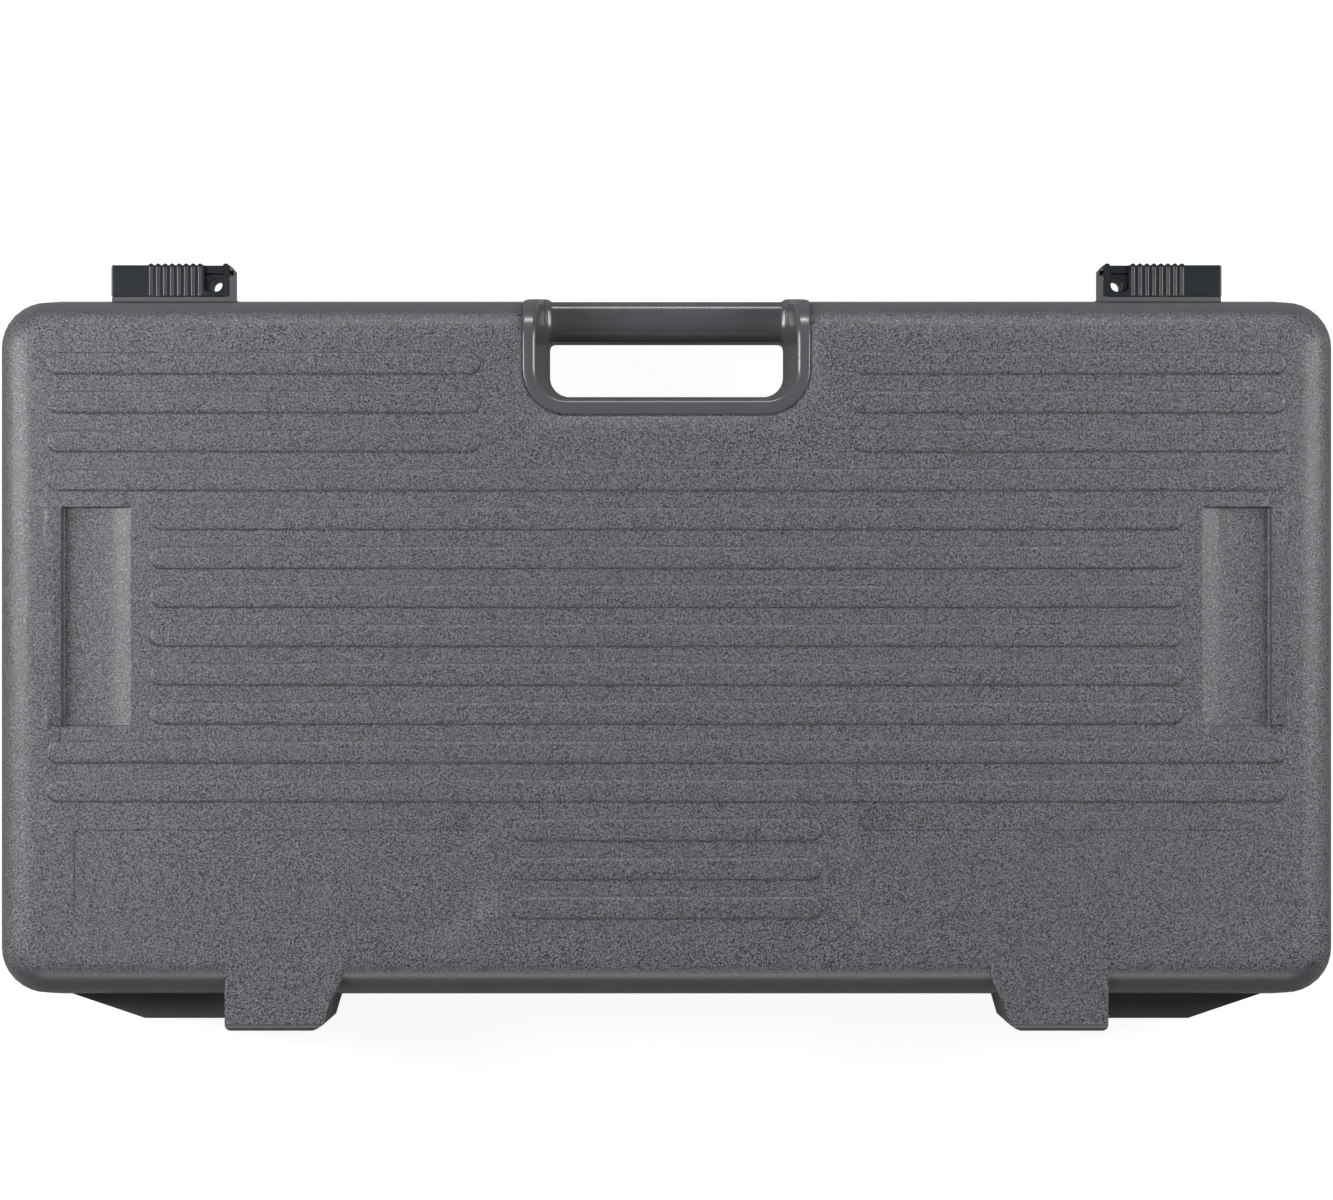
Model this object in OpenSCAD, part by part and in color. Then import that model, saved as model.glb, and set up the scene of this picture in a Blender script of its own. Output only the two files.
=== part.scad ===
// A moulded case for guitar pedals, closed and lying flat on its back.
// The lid is on top. The handle and the two latches are at the front (-Y), the hinges at the rear (+Y).
// Heights inside the halves are measured from the parting line, away from it.

/* [Case] */
// Width at the parting line
case_w = 675; // [600:5:800]
// Depth at the parting line, without latches and hinge tabs
case_d = 354.8; // [320:0.2:440]
// Height of the lid above the parting line, without its ribs
lid_h = 59.8; // [50:0.2:90]
// Height of the base below the parting line, without ribs and feet
base_h = 68; // [55:1:110]
// Wall thickness of both halves
wall = 3; // [2:0.5:4]
// Slope of the outer walls, in degrees
draft = 6; // [3:0.5:7]
// Radius of the upright corners at the parting line
corner_r = 27.4; // [27:0.1:40]
// Radius of the edge between the walls and the flat faces
edge_r = 18; // [10:1:20]
// Height of the locating lip inside the parting line
lip_h = 2; // [1:0.5:4]
// Thickness of the locating lip
lip_t = 1.6; // [1:0.1:3]
// Gap between the lip and the lid's wall
lip_gap = 0.6; // [0.4:0.1:1]

/* [Ribs] */
// Width of a raised rib
rib_w = 11.2; // [6:0.1:16]
// Height of a raised rib above the face
rib_h = 1.2; // [0.6:0.1:2]
// Distance from one rib to the next
rib_pitch = 19.31; // [17:0.01:26]
// Distance from the front edge to the middle of the first rib
rib_front = 36.3; // [30:0.1:50]
// Least distance from the middle of the last rib to the rear edge
rib_rear = 45; // [35:1:60]
// Distance from the ribs' ends to the side edges
rib_side = 29.7; // [25:0.1:50]
// Gap beside the ribs that end at the handle's rim
rib_handle_gap = 20.8; // [10:0.1:30]
// Gap beside the ribs that end at the side pockets
rib_pocket_gap = 9.4; // [5:0.1:20]
// Gap beside the ribs that end at the nameplate panels
rib_panel_gap = 18.3; // [8:0.1:30]

/* [Handle] */
// Width of the hand opening at the parting line
well_w = 119.2; // [100:0.2:140]
// Distance from the front edge to the rear wall of the hand opening, at the parting line
well_d = 48.9; // [44:0.1:70]
// Corner radius of the hand opening
well_r = 10; // [5:1:16]
// Slope of the hand opening's walls, in degrees
well_draft = 5; // [3:0.5:7]
// Width of the raised rim around the hand opening
rim_w = 6.7; // [4:0.1:12]
// Height of the raised rim
rim_h = 1.2; // [0.6:0.1:2]
// Thickness of the grip from front to rear
grip_t = 20.2; // [16:0.2:26]
// Height of the grip, half of it in each half of the case
grip_h = 36; // [26:1:44]
// Radius of the grip's edges
grip_r = 6; // [4:0.5:8]
// Distance from the front edge to the grip
grip_front = 0.7; // [0.5:0.1:4]

/* [Side pockets] */
// Length of a pocket along the side
pocket_len = 109.2; // [80:0.2:140]
// Width of a pocket
pocket_w = 34.2; // [24:0.2:40]
// Depth of a pocket at its outer wall
pocket_depth = 7; // [4:0.5:9]
// Width of the raised strip outside the pocket
strip_w = 7.5; // [4:0.5:10]
// Middle of the pockets, measured from the case's middle towards the rear
pocket_y = -15.4; // [-30:0.2:20]

/* [Nameplate panels] */
// Width of a panel
panel_w = 198.9; // [140:0.1:210]
// Height of a panel
panel_d = 45.6; // [30:0.1:60]
// Depth of a panel below the face
panel_depth = 0.5; // [0.3:0.1:1]
// Corner radius of a panel
panel_r = 2.5; // [1:0.5:6]
// Distance from a panel to the side edge
panel_side = 43.3; // [35:0.1:60]
// Distance from a panel to the rear edge
panel_rear = 41.4; // [35:0.1:60]

/* [Hinges] */
// Distance from the middle of the case to the outer side of a hinge tab
tab_x = 219.4; // [190:0.2:250]
// Width of a hinge tab
tab_w = 58.3; // [50:0.1:80]
// Distance that the hinge tabs and the wedge feet stand out behind the case
tab_d = 13.3; // [13:0.1:18]
// Radius of the hinge pins
pin_r = 2.5; // [1.5:0.1:3]
// Gap between a hinge pin and its bore
pin_gap = 0.05; // [0.03:0.01:0.08]
// Length of the base's hinge knuckle
knuckle_len = 18; // [12:1:22]
// Length of the wedge feet's sloping side
wedge_slope = 37.3; // [20:0.1:45]
// Distance from the side edge to a wedge foot
wedge_side = 32.8; // [28:0.1:60]

/* [Latches] */
// Distance from the middle of the case to the inner end of a latch slider
latch_x = 222.7; // [200:0.1:240]
// Length of a latch slider
slider_len = 60; // [58:0.5:70]
// Height of a latch slider, half of it on each side of the parting line
slider_h = 28; // [27:0.5:34]
// Depth of a latch slider, without its grip ribs
slider_d = 15.7; // [15.5:0.1:20]
// Thickness of the slider's front plate
slider_plate = 4; // [3:0.1:5]
// Thickness of the slider's flanges
slider_flange = 2.5; // [2:0.1:3]
// Travel of the slider from free to fastened
latch_travel = 12; // [10:0.5:13]
// Length of a hook of the slider, and of a finger of the keeper
hook_len = 8; // [6:0.5:9]
// Number of grip ribs on a slider
grip_ribs = 8; // [4:1:9]
// Distance between the grip ribs
grip_pitch = 3.56; // [3:0.01:3.8]
// Radius of the padlock hole
padlock_r = 3.3; // [2.5:0.1:3.6]
// Gap around the sliding faces of a latch
slide_gap = 0.5; // [0.4:0.1:0.8]
// Thickness of the keepers' back plates
keeper_plate = 2; // [1.5:0.1:3]
// Distance that the pads behind the keepers stand out from the case
boss_out = 1; // [0.5:0.1:2]
// Thickness of the leaf springs
spring_t = 0.4; // [0.3:0.1:0.6]

/* [Foam] */
// Gap between the foam and the walls
foam_gap = 0.8; // [0.5:0.1:3]
// Height of the base's foam
foam_h = 50; // [40:1:52]
// Thickness of foam below the pockets
foam_floor = 20; // [12:1:25]
// Thickness of the lid's foam
lid_foam_h = 26; // [15:1:30]
// Width of the middle foam block
foam_mid_w = 222; // [200:1:240]
// Width of a pedal's pocket
pedal_w = 76; // [65:1:80]
// Length of a pedal's pocket
pedal_d = 132; // [110:1:140]
// Foam between two pedals
pedal_wall = 20; // [10:1:24]
// Foam between the pockets and the rear wall
pedal_rear = 25; // [18:1:40]
// Length of the cable and adaptor trays, from front to rear
tray_d = 85; // [60:1:100]

/* [Feet and screws] */
// Radius of a rubber foot
foot_r = 11; // [8:0.5:16]
// Height of a rubber foot
foot_h = 4; // [3.5:0.5:8]
// Distance from the side edges to the middle of a foot
foot_side = 52.5; // [45:0.5:80]
// Distance from the front and rear edges to the middle of a foot
foot_end = 52.4; // [45:0.2:80]
// Radius of the screws' threads
screw_r = 1.5; // [1:0.1:2]
// Radius of the screws' heads
head_r = 2.75; // [2.5:0.05:3.5]
// Height of the screws' heads
head_h = 2; // [1.5:0.1:2.5]
// Length of a keeper's screw below its head
keeper_screw_len = 13; // [11:0.5:14]
// Length of a foot's screw below its head
foot_screw_len = 11; // [9:0.5:12]
// Gap between a screw and its hole
screw_gap = 0.05; // [0.03:0.01:0.1]

/* [Hidden] */
$fn = 48;

shell_grey = "#66676A";
latch_black = "#3B3F42";
steel = "#B4B6B8";
foam_black = "#2A2A2C";
rubber_black = "#1C1C1D";

arc_steps = 6;
bite = 0.5;          // how far joined shapes reach into each other
far = 400;           // longer than any piece of the case that it cuts through

// The parting line, the front and rear edges there, and the corners' upright axes
parting_z = foot_h + base_h;
edge_x = case_w / 2;
edge_y = case_d / 2;
axis_x = edge_x - corner_r;
axis_y = edge_y - corner_r;

// Where the latches' faces lie, as distances in front of the case's middle
flange_gap = 0.6;
boss_v = edge_y + boss_out;
slider_back_v = boss_v + flange_gap;
slider_front_v = slider_back_v + slider_d;
plate_v = slider_front_v - slider_plate;
rail_v = plate_v - slide_gap;
channel_v = boss_v + 6.4;
grip_rib_r = 1.2;
grip_rib_sink = 0.75;
bump_r = 1.8;
grip_rib_v = slider_front_v - 0.2;
front_v = grip_rib_v + grip_rib_r;

// The rear faces of the tabs and the wedge feet. The hinge's axis lies where the tabs' rear faces
// come to lie open_gap from the base's wall when the lid is fully open.
open_gap = 0.6;
barrel_gap = 0.95;
tab_y = edge_y + tab_d;
wedge_y = tab_y - 0.7;
hinge_y = edge_y + (tab_d + open_gap) / 2;
barrel_r = hinge_y - edge_y - barrel_gap;
shift_y = (front_v - tab_y) / 2;

// A tab's inner side slopes out to its root and is cut off at its tip
tab_tip_cut = 14.2;
tab_bend_cut = 9.5;
tab_bend_d = 3.2;
tab_side_cut = 6.1;
tab_side_d = 14.7;
tab_root_d = 26.7;
tab_edge_r = 4;
tab_roof = 6;         // solid height above the barrel
ear_x = tab_x - tab_w + tab_tip_cut;
knuckle_x = tab_x - 13.4 - knuckle_len;
wedge_x = tab_x + 1.4;

// The latch seen from the parting line: positions along the slider are distances from its inner end
flange_h = slider_h / 2 - slider_flange;
rail_top = flange_h - flange_gap;
rail_low = 3;
rail_step = 7.5;
window_in = 3;
window_out = 12.7;
window_r = 3;
window_v = slider_back_v + 4.9;
ribs_in = window_out + 1.1;
eye_in = 2.8;
eye_out = 12.2;
padlock_in = 7.1;
padlock_v = boss_v + 6.4;
end_wall = 1.5;
hook_first = 13.3;
hook_second = hook_first + 2 * latch_travel - 0.5;
spring_in = 24.3;
spring_len = 20;
spring_low = 5;
spring_high = 9;
spring_v = rail_v - 1.5;
screw_ins = [20.3, 50.3];
keeper_screw_z = 5.25;
seat_v = edge_y - wall - 1.6;
lid_keeper_low = 0.4;
base_keeper_high = 0.6;
bracket_w = 3.8;
bracket_gap = 0.4;
bracket_lean = 1.3;
bracket_slot_in = 1.4;
bracket_slot_z = 8;
bracket_slot_v = slider_front_v - 2.9;
bracket_slot_d = 2.6;
pad_margin = 0.5;

// The side pockets, their strips and the panels. A pocket's floor rises inwards and ends in a ramp.
pocket_ramp = 6.4;
pocket_ramp_z = lid_h - 0.7 * pocket_depth;
strip_x = edge_x - rib_side;
pocket_x = strip_x - strip_w;
panel_x = edge_x - panel_side;
panel_y = edge_y - panel_rear;

// The handle
rim_y = well_rear(lid_h) + rim_w + 0.7;
rim_x = well_half(lid_h) + rim_w;
rim_r = rim_w + well_r + 4;

// The rows of ribs, and where they end at the pockets, the panels and the handle's rim
rib_rows = floor((case_d - rib_front - rib_rear) / rib_pitch) + 1;
rib_x = edge_x - rib_side;
rib_pocket_x = pocket_x - pocket_w - rib_pocket_gap;
rib_panel_x = panel_x - panel_w - rib_panel_gap;
rib_handle_x = rim_x + rib_handle_gap;

foam_z = parting_z - base_h + wall + 0.3;
pocket_floor_z = foam_z + foam_floor;
foam_top_z = foam_z + foam_h;
foam_split = 0.6;
pedal_rear_y = edge_y - pedal_rear;
pedal_front_y = pedal_rear_y - pedal_d;
tray_rear_y = pedal_front_y - pedal_wall;
foot_x = edge_x - foot_side;
foot_y = edge_y - foot_end;
foot_boss_h = foot_screw_len - wall - foot_h + 2;

function rib_y(k) = -edge_y + rib_front + k * rib_pitch;
function well_half(z) = well_w / 2 + z * tan(well_draft);
function well_rear(z) = -edge_y + well_d + z * tan(well_draft);

function arc(cx, cz, r, from, to, n) =
    [for (i = [0 : n]) let (a = from + (to - from) * i / n) [cx + r * cos(a), cz + r * sin(a)]];

// Section of a filled half, from a corner's axis outwards: sloping wall, rounded edge, flat face
function half_section(inset, h, low) =
    let (
        out = corner_r - inset / cos(draft),
        top = h - inset,
        r = edge_r - inset,
        cx = out - (top - r) * tan(draft) - r / cos(draft)
    )
    concat([[0, low], [out - low * tan(draft), low]], arc(cx, top - r, r, draft, 90, arc_steps), [[0, top]]);

// ---- shared shapes ----

// Places a half's own coordinates in the case's frame
module on_lid() {
    translate([0, shift_y, parting_z]) children();
}

module on_base() {
    translate([0, shift_y, parting_z]) mirror([0, 0, 1]) children();
}

module in_case() {
    translate([0, shift_y, 0]) children();
}

// The left side is -X, the right side +X
module on_side(side) {
    mirror([side < 0 ? 1 : 0, 0, 0]) children();
}

module both_sides() {
    for (side = [-1, 1]) on_side(side) children();
}

// A quarter of a disc with its corner at the origin
module quarter(r) {
    intersection() {
        circle(r);
        square([r, r]);
    }
}

// A rectangle from (x0, y0) to (x1, y1), rounded by r at all four corners
module round_rect(x0, y0, x1, y1, r) {
    translate([x0 + r, y0]) square([x1 - x0 - 2 * r, y1 - y0]);
    translate([x0, y0 + r]) square([r, y1 - y0 - 2 * r]);
    translate([x1 - r, y0 + r]) square([r, y1 - y0 - 2 * r]);
    for (c = [[x0 + r, y0 + r, 180], [x1 - r, y0 + r, 270], [x1 - r, y1 - r, 0], [x0 + r, y1 - r, 90]]) {
        translate([c[0], c[1]]) rotate(c[2]) quarter(r);
    }
}

// A section that stands on its flat side, with its two upper corners rounded by r
module round_top(x0, x1, h, r) {
    translate([x0, 0]) square([x1 - x0, h - r]);
    translate([x0 + r, h - r]) square([x1 - x0 - 2 * r, r]);
    translate([x1 - r, h - r]) quarter(r);
    translate([x0 + r, h - r]) rotate(90) quarter(r);
}

// A half of the case as a filled block, inset from the outer face
module half_block(inset, h, low = 0) {
    section = half_section(inset, h, low);
    for (sx = [0, 1], sy = [0, 1]) {
        mirror([sx, 0, 0]) mirror([0, sy, 0]) translate([axis_x, axis_y, 0]) rotate_extrude(angle = 90) {
            polygon(section);
        }
    }
    for (sx = [0, 1]) {
        mirror([sx, 0, 0]) translate([axis_x, axis_y, 0]) rotate([90, 0, 0]) linear_extrude(2 * axis_y) {
            polygon(section);
        }
        mirror([0, sx, 0]) translate([-axis_x, axis_y, 0]) rotate([90, 0, 90]) linear_extrude(2 * axis_x) {
            polygon(section);
        }
    }
    translate([-axis_x, -axis_y, low]) cube([2 * axis_x, 2 * axis_y, h - inset - low]);
}

// The U of the hand opening, open at the front
module u_outline(half, rear, r) {
    translate([-half, -far]) square([2 * half, far + rear - r]);
    translate([-half + r, rear - r - bite]) square([2 * (half - r), r + bite]);
    translate([half - r, rear - r]) quarter(r);
    translate([-half + r, rear - r]) rotate(90) quarter(r);
}

// The tapered space of the hand opening, grown by some distance
module well_space(grow, low, high) {
    hull() {
        for (z = [low, high]) {
            translate([0, 0, z]) linear_extrude(0.01) {
                u_outline(well_half(z) + grow, well_rear(z) + grow, well_r + grow);
            }
        }
    }
}

// Half of the grip, hollow and open at the parting line
module grip_half() {
    front = -edge_y + grip_front;
    translate([-well_w / 2 - bite, 0, 0]) rotate([90, 0, 90]) {
        difference() {
            linear_extrude(well_w + 2 * bite) {
                round_top(front, front + grip_t, grip_h / 2, grip_r);
            }
            translate([0, -1, wall]) linear_extrude(well_w + 2 * bite - 2 * wall) {
                round_top(front + wall, front + grip_t - wall, grip_h / 2 - wall + 1, grip_r - wall);
            }
        }
    }
}

// A half of the case with its hand opening, its grip and the pads of its latches
module case_half(h, bracket) {
    difference() {
        union() {
            difference() {
                half_block(0, h);
                half_block(wall, h, -1);
            }
            intersection() {
                half_block(0, h);
                well_space(wall, -1, h + 1);
            }
            intersection() {
                difference() {
                    half_block(-rim_h, h);
                    half_block(wall / 2, h, -1);
                }
                translate([0, 0, -1]) linear_extrude(h + 5) {
                    u_outline(rim_x, rim_y, rim_r);
                }
            }
            both_sides() latch_pad(bracket);
            both_sides() screw_seats();
        }
        well_space(0, -2, h + 5);
        both_sides() keeper_screw_holes();
    }
    grip_half();
}

// The flat pad behind a latch. The lid's pad has a bracket at its inner end, whose inner side leans.
module latch_pad(bracket) {
    bracket_x = latch_x - bracket_w;
    side_x = latch_x - bracket_gap;
    pad_x = bracket ? bracket_x : side_x;
    pad_top = slider_h / 2 + pad_margin;
    difference() {
        union() {
            translate([pad_x, -boss_v, 0]) {
                cube([latch_x + slider_len - pad_margin - pad_x, boss_out + wall - 0.6, pad_top]);
            }
            if (bracket) linear_extrude(slider_h / 2) {
                polygon([
                    [side_x, -edge_y + bite],
                    [side_x, -slider_front_v],
                    [bracket_x, -slider_front_v + bracket_w],
                    [bracket_x, -edge_y + bite]
                ]);
            }
        }
        if (bracket) {
            translate([bracket_x + bracket_slot_in, -bracket_slot_v, bracket_slot_z]) {
                cube([bracket_w, bracket_slot_d, slider_h]);
            }
            translate([0, -edge_y + bite, 0]) rotate([90, 0, 0]) linear_extrude(far) {
                polygon([
                    [bracket_x - 1, -1],
                    [bracket_x + bracket_lean, -1],
                    [bracket_x + bracket_lean, 0],
                    [bracket_x, pad_top],
                    [bracket_x - 1, pad_top + 1]
                ]);
            }
        }
    }
}

module screw_seats() {
    for (u = screw_ins) {
        translate([latch_x + u, -seat_v, keeper_screw_z]) rotate([90, 0, 0]) cylinder(r = 4, h = wall);
    }
}

// The keeper's screws run from inside the case through wall, pad and plate, into the rail or the fingers
module keeper_screw_holes() {
    for (u = screw_ins) {
        translate([latch_x + u, -seat_v + 1, keeper_screw_z]) rotate([90, 0, 0]) {
            cylinder(r = screw_r + screw_gap, h = keeper_screw_len + 1.5);
        }
    }
}

module keeper_screw_pair() {
    for (u = screw_ins) {
        translate([latch_x + u, -seat_v, keeper_screw_z]) rotate([90, 0, 0]) {
            cylinder(r = screw_r, h = keeper_screw_len);
            translate([0, 0, -head_h]) difference() {
                cylinder(r = head_r, h = head_h);
                translate([0, 0, -1]) cylinder(r = 1.2, h = 2.2, $fn = 6);
            }
        }
    }
}

// Raised ribs: a bar with round ends between two places on the face
module rib(x0, x1, y, h) {
    r = rib_w / 2;
    translate([0, y, h - bite]) linear_extrude(rib_h + bite) {
        translate([x0 + r, -r]) square([x1 - x0 - rib_w, rib_w]);
        translate([x1 - r, 0]) for (a = [0, 270]) rotate(a) quarter(r);
        translate([x0 + r, 0]) for (a = [90, 180]) rotate(a) quarter(r);
    }
}

module rib_pair(x0, x1, y, h) {
    rib(x0, x1, y, h);
    rib(-x1, -x0, y, h);
}

// ---- pieces ----

module lid_ribs() {
    for (k = [0 : rib_rows - 1]) {
        y = rib_y(k);
        if (y < rim_y + rib_handle_gap) {
            rib_pair(rib_handle_x, rib_x, y, lid_h);
        } else if (abs(y - pocket_y) < (pocket_len + rib_w) / 2 + 1) {
            rib(-rib_pocket_x, rib_pocket_x, y, lid_h);
        } else if (y + rib_w / 2 > panel_y - panel_d) {
            rib(-rib_panel_x, rib_panel_x, y, lid_h);
        } else {
            rib(-rib_x, rib_x, y, lid_h);
        }
    }
}

// Section of a side pocket: upright outer wall, floor that rises inwards, then a ramp to the face
module pocket_section(grow, top) {
    polygon([
        [pocket_x + grow, top],
        [pocket_x + grow, lid_h - pocket_depth - grow],
        [pocket_x - pocket_w + pocket_ramp, pocket_ramp_z - grow],
        [pocket_x - pocket_w - grow, lid_h + (top > lid_h ? 0.01 : -bite)],
        [pocket_x - pocket_w - grow, top]
    ]);
}

module side_pocket(grow, top) {
    translate([0, pocket_y + pocket_len / 2 + grow, 0]) rotate([90, 0, 0]) {
        linear_extrude(pocket_len + 2 * grow) pocket_section(grow, top);
    }
}

module pocket_strip() {
    r = 3;
    x1 = pocket_x + strip_w;
    translate([0, pocket_y, lid_h - bite]) linear_extrude(rib_h + bite) {
        translate([pocket_x, -pocket_len / 2]) square([strip_w - r, pocket_len]);
        translate([x1 - r, -pocket_len / 2 + r]) square([r, pocket_len - 2 * r]);
        translate([x1 - r, pocket_len / 2 - r]) quarter(r);
        translate([x1 - r, -pocket_len / 2 + r]) rotate(270) quarter(r);
    }
}

module panel_recess() {
    translate([0, 0, lid_h - panel_depth]) linear_extrude(rib_h + 1) {
        round_rect(panel_x - panel_w, panel_y - panel_d, panel_x, panel_y, panel_r);
    }
}

// Outline of a hinge tab, its walls inset by some distance
module tab_outline(inset) {
    x0 = tab_x - tab_w;
    polygon([
        [tab_x - inset, axis_y],
        [tab_x - inset, tab_y - inset],
        [x0 + tab_tip_cut + inset * 0.31, tab_y - inset],
        [x0 + tab_bend_cut + inset * 0.86, tab_y - tab_bend_d - inset * 0.63],
        [x0 + tab_side_cut + inset * 0.93, tab_y - tab_side_d - inset * 0.37],
        [x0 + inset, tab_y - tab_root_d - inset * 0.24],
        [x0 + inset, axis_y]
    ]);
}

module hinge_bore(from_x, to_x) {
    translate([from_x, hinge_y, 0]) rotate([0, 90, 0]) cylinder(r = pin_r + pin_gap, h = to_x - from_x);
}

module lid_tab() {
    difference() {
        union() {
            intersection() {
                linear_extrude(lid_h) tab_outline(0);
                rotate([90, 0, 90]) linear_extrude(tab_x + 1) {
                    square([tab_y - tab_edge_r, lid_h]);
                    translate([tab_y - tab_edge_r - bite, 0]) square([tab_edge_r + bite, lid_h - tab_edge_r]);
                    translate([tab_y - tab_edge_r, lid_h - tab_edge_r]) quarter(tab_edge_r);
                }
            }
            translate([ear_x, hinge_y, 0]) rotate([0, 90, 0]) cylinder(r = barrel_r, h = tab_x - ear_x);
        }
        translate([knuckle_x - slide_gap, edge_y + 0.1, -barrel_r - 2]) {
            cube([knuckle_len + 2 * slide_gap, tab_d + 1, 2 * barrel_r + 3]);
        }
        hinge_bore(ear_x, tab_x + 1);
    }
}

module lid_shell() {
    color(shell_grey) on_lid() {
        difference() {
            union() {
                case_half(lid_h, bracket = true);
                both_sides() pocket_strip();
                both_sides() intersection() {
                    side_pocket(wall, lid_h - bite);
                    half_block(wall / 2, lid_h);
                }
                lid_ribs();
                difference() {
                    both_sides() lid_tab();
                    half_block(wall, lid_h, -1);
                }
            }
            both_sides() side_pocket(0, lid_h + rib_h + 1);
            both_sides() panel_recess();
            both_sides() translate([0, 0, barrel_r + tab_roof]) {
                linear_extrude(lid_h - barrel_r - tab_roof - wall) tab_outline(wall);
            }
            both_sides() hinge_bore(ear_x, tab_x + 1);
        }
    }
}

// The wedge feet that the case stands on when it is upright
module wedge_outline(inset) {
    x1 = edge_x - wedge_side;
    polygon([
        [wedge_x + inset, axis_y],
        [wedge_x + inset, wedge_y - inset],
        [x1 - wedge_slope - inset * 0.2, wedge_y - inset],
        [x1 - inset * 1.5, edge_y - inset * 0.6],
        [x1 - inset * 1.5, axis_y]
    ]);
}

module base_knuckle() {
    difference() {
        translate([knuckle_x, 0, 0]) rotate([90, 0, 90]) linear_extrude(knuckle_len) {
            translate([hinge_y, 0]) circle(barrel_r);
            translate([edge_y - 1.2, 0]) square([hinge_y - edge_y + 1.2, barrel_r]);
        }
        hinge_bore(knuckle_x - 1, knuckle_x + knuckle_len + 1);
    }
}

// Locating lip around the opening of the base, left out at the hand opening and behind the latches
module base_lip() {
    outer = wall / cos(draft) + lip_gap;
    difference() {
        union() {
            translate([0, 0, -lip_h]) linear_extrude(lip_h + bite) lip_ring(outer, outer + lip_t);
            linear_extrude(3) lip_ring(wall * 0.7, outer + lip_t);
        }
        translate([-rim_x - 1, -far, -far / 2]) cube([2 * rim_x + 2, far + rim_y, far]);
        both_sides() translate([latch_x - 8, -far, -far / 2]) cube([slider_len + 16, far - axis_y, far]);
    }
}

module lip_ring(outer, inner) {
    difference() {
        round_rect(outer - edge_x, outer - edge_y, edge_x - outer, edge_y - outer, corner_r - outer);
        round_rect(inner - edge_x, inner - edge_y, edge_x - inner, edge_y - inner, corner_r - inner);
    }
}

module at_feet() {
    for (sx = [-1, 1], sy = [-1, 1]) translate([sx * foot_x, sy * foot_y, 0]) children();
}

module base_ribs() {
    for (k = [0 : rib_rows - 1]) {
        y = rib_y(k);
        if (y < rim_y + rib_handle_gap) {
            rib_pair(rib_handle_x, rib_pocket_x, y, base_h);
        } else {
            rib(-rib_pocket_x, rib_pocket_x, y, base_h);
        }
    }
}

module base_shell() {
    color(shell_grey) on_base() {
        difference() {
            union() {
                case_half(base_h, bracket = false);
                base_lip();
                base_ribs();
                difference() {
                    both_sides() linear_extrude(base_h) wedge_outline(0);
                    half_block(wall, base_h, -1);
                }
                both_sides() base_knuckle();
                at_feet() translate([0, 0, base_h - wall - foot_boss_h]) {
                    cylinder(r = 5, h = foot_boss_h + 1);
                }
            }
            both_sides() translate([0, 0, wall]) linear_extrude(base_h - 2 * wall) wedge_outline(wall);
            at_feet() translate([0, 0, base_h - wall - foot_boss_h - 1]) {
                cylinder(r = screw_r + screw_gap, h = foot_boss_h + wall + 2);
            }
        }
    }
}

// ---- latches ----

// A block of a latch between positions along it, distances in front, and heights from the parting line
module latch_block(u0, u1, v0, v1, z0, z1) {
    translate([latch_x + u0, -v1, z0]) cube([u1 - u0, v1 - v0, z1 - z0]);
}

module padlock_hole() {
    translate([latch_x + padlock_in, -padlock_v, -far / 2]) cylinder(r = padlock_r, h = far);
}

module lid_keeper() {
    rail_end = slider_len - end_wall - slide_gap;
    difference() {
        union() {
            latch_block(eye_in, rail_end, boss_v, boss_v + keeper_plate, lid_keeper_low, rail_top);
            latch_block(eye_in, eye_out, boss_v, rail_v, lid_keeper_low, rail_top);
            latch_block(eye_out - bite, rail_end, boss_v, rail_v, rail_low, rail_step);
            latch_block(eye_out - bite, rail_end, channel_v, rail_v, rail_low, rail_top);
        }
        padlock_hole();
        keeper_screw_holes();
        latch_block(spring_in - 1, spring_in + spring_len + 1, spring_v, rail_v + 1,
                    spring_low - slide_gap, spring_high + slide_gap);
    }
}

module base_keeper() {
    finger_low = flange_h - 0.4;
    difference() {
        union() {
            latch_block(eye_in, slider_len - 2, boss_v, boss_v + keeper_plate, base_keeper_high, finger_low);
            latch_block(eye_in, eye_out, boss_v, rail_v, base_keeper_high, slider_h / 2 - 1);
            for (u = [hook_first, hook_second]) {
                latch_block(u + latch_travel, u + latch_travel + hook_len, boss_v, rail_v,
                            base_keeper_high, finger_low);
            }
        }
        padlock_hole();
        keeper_screw_holes();
    }
}

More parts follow.
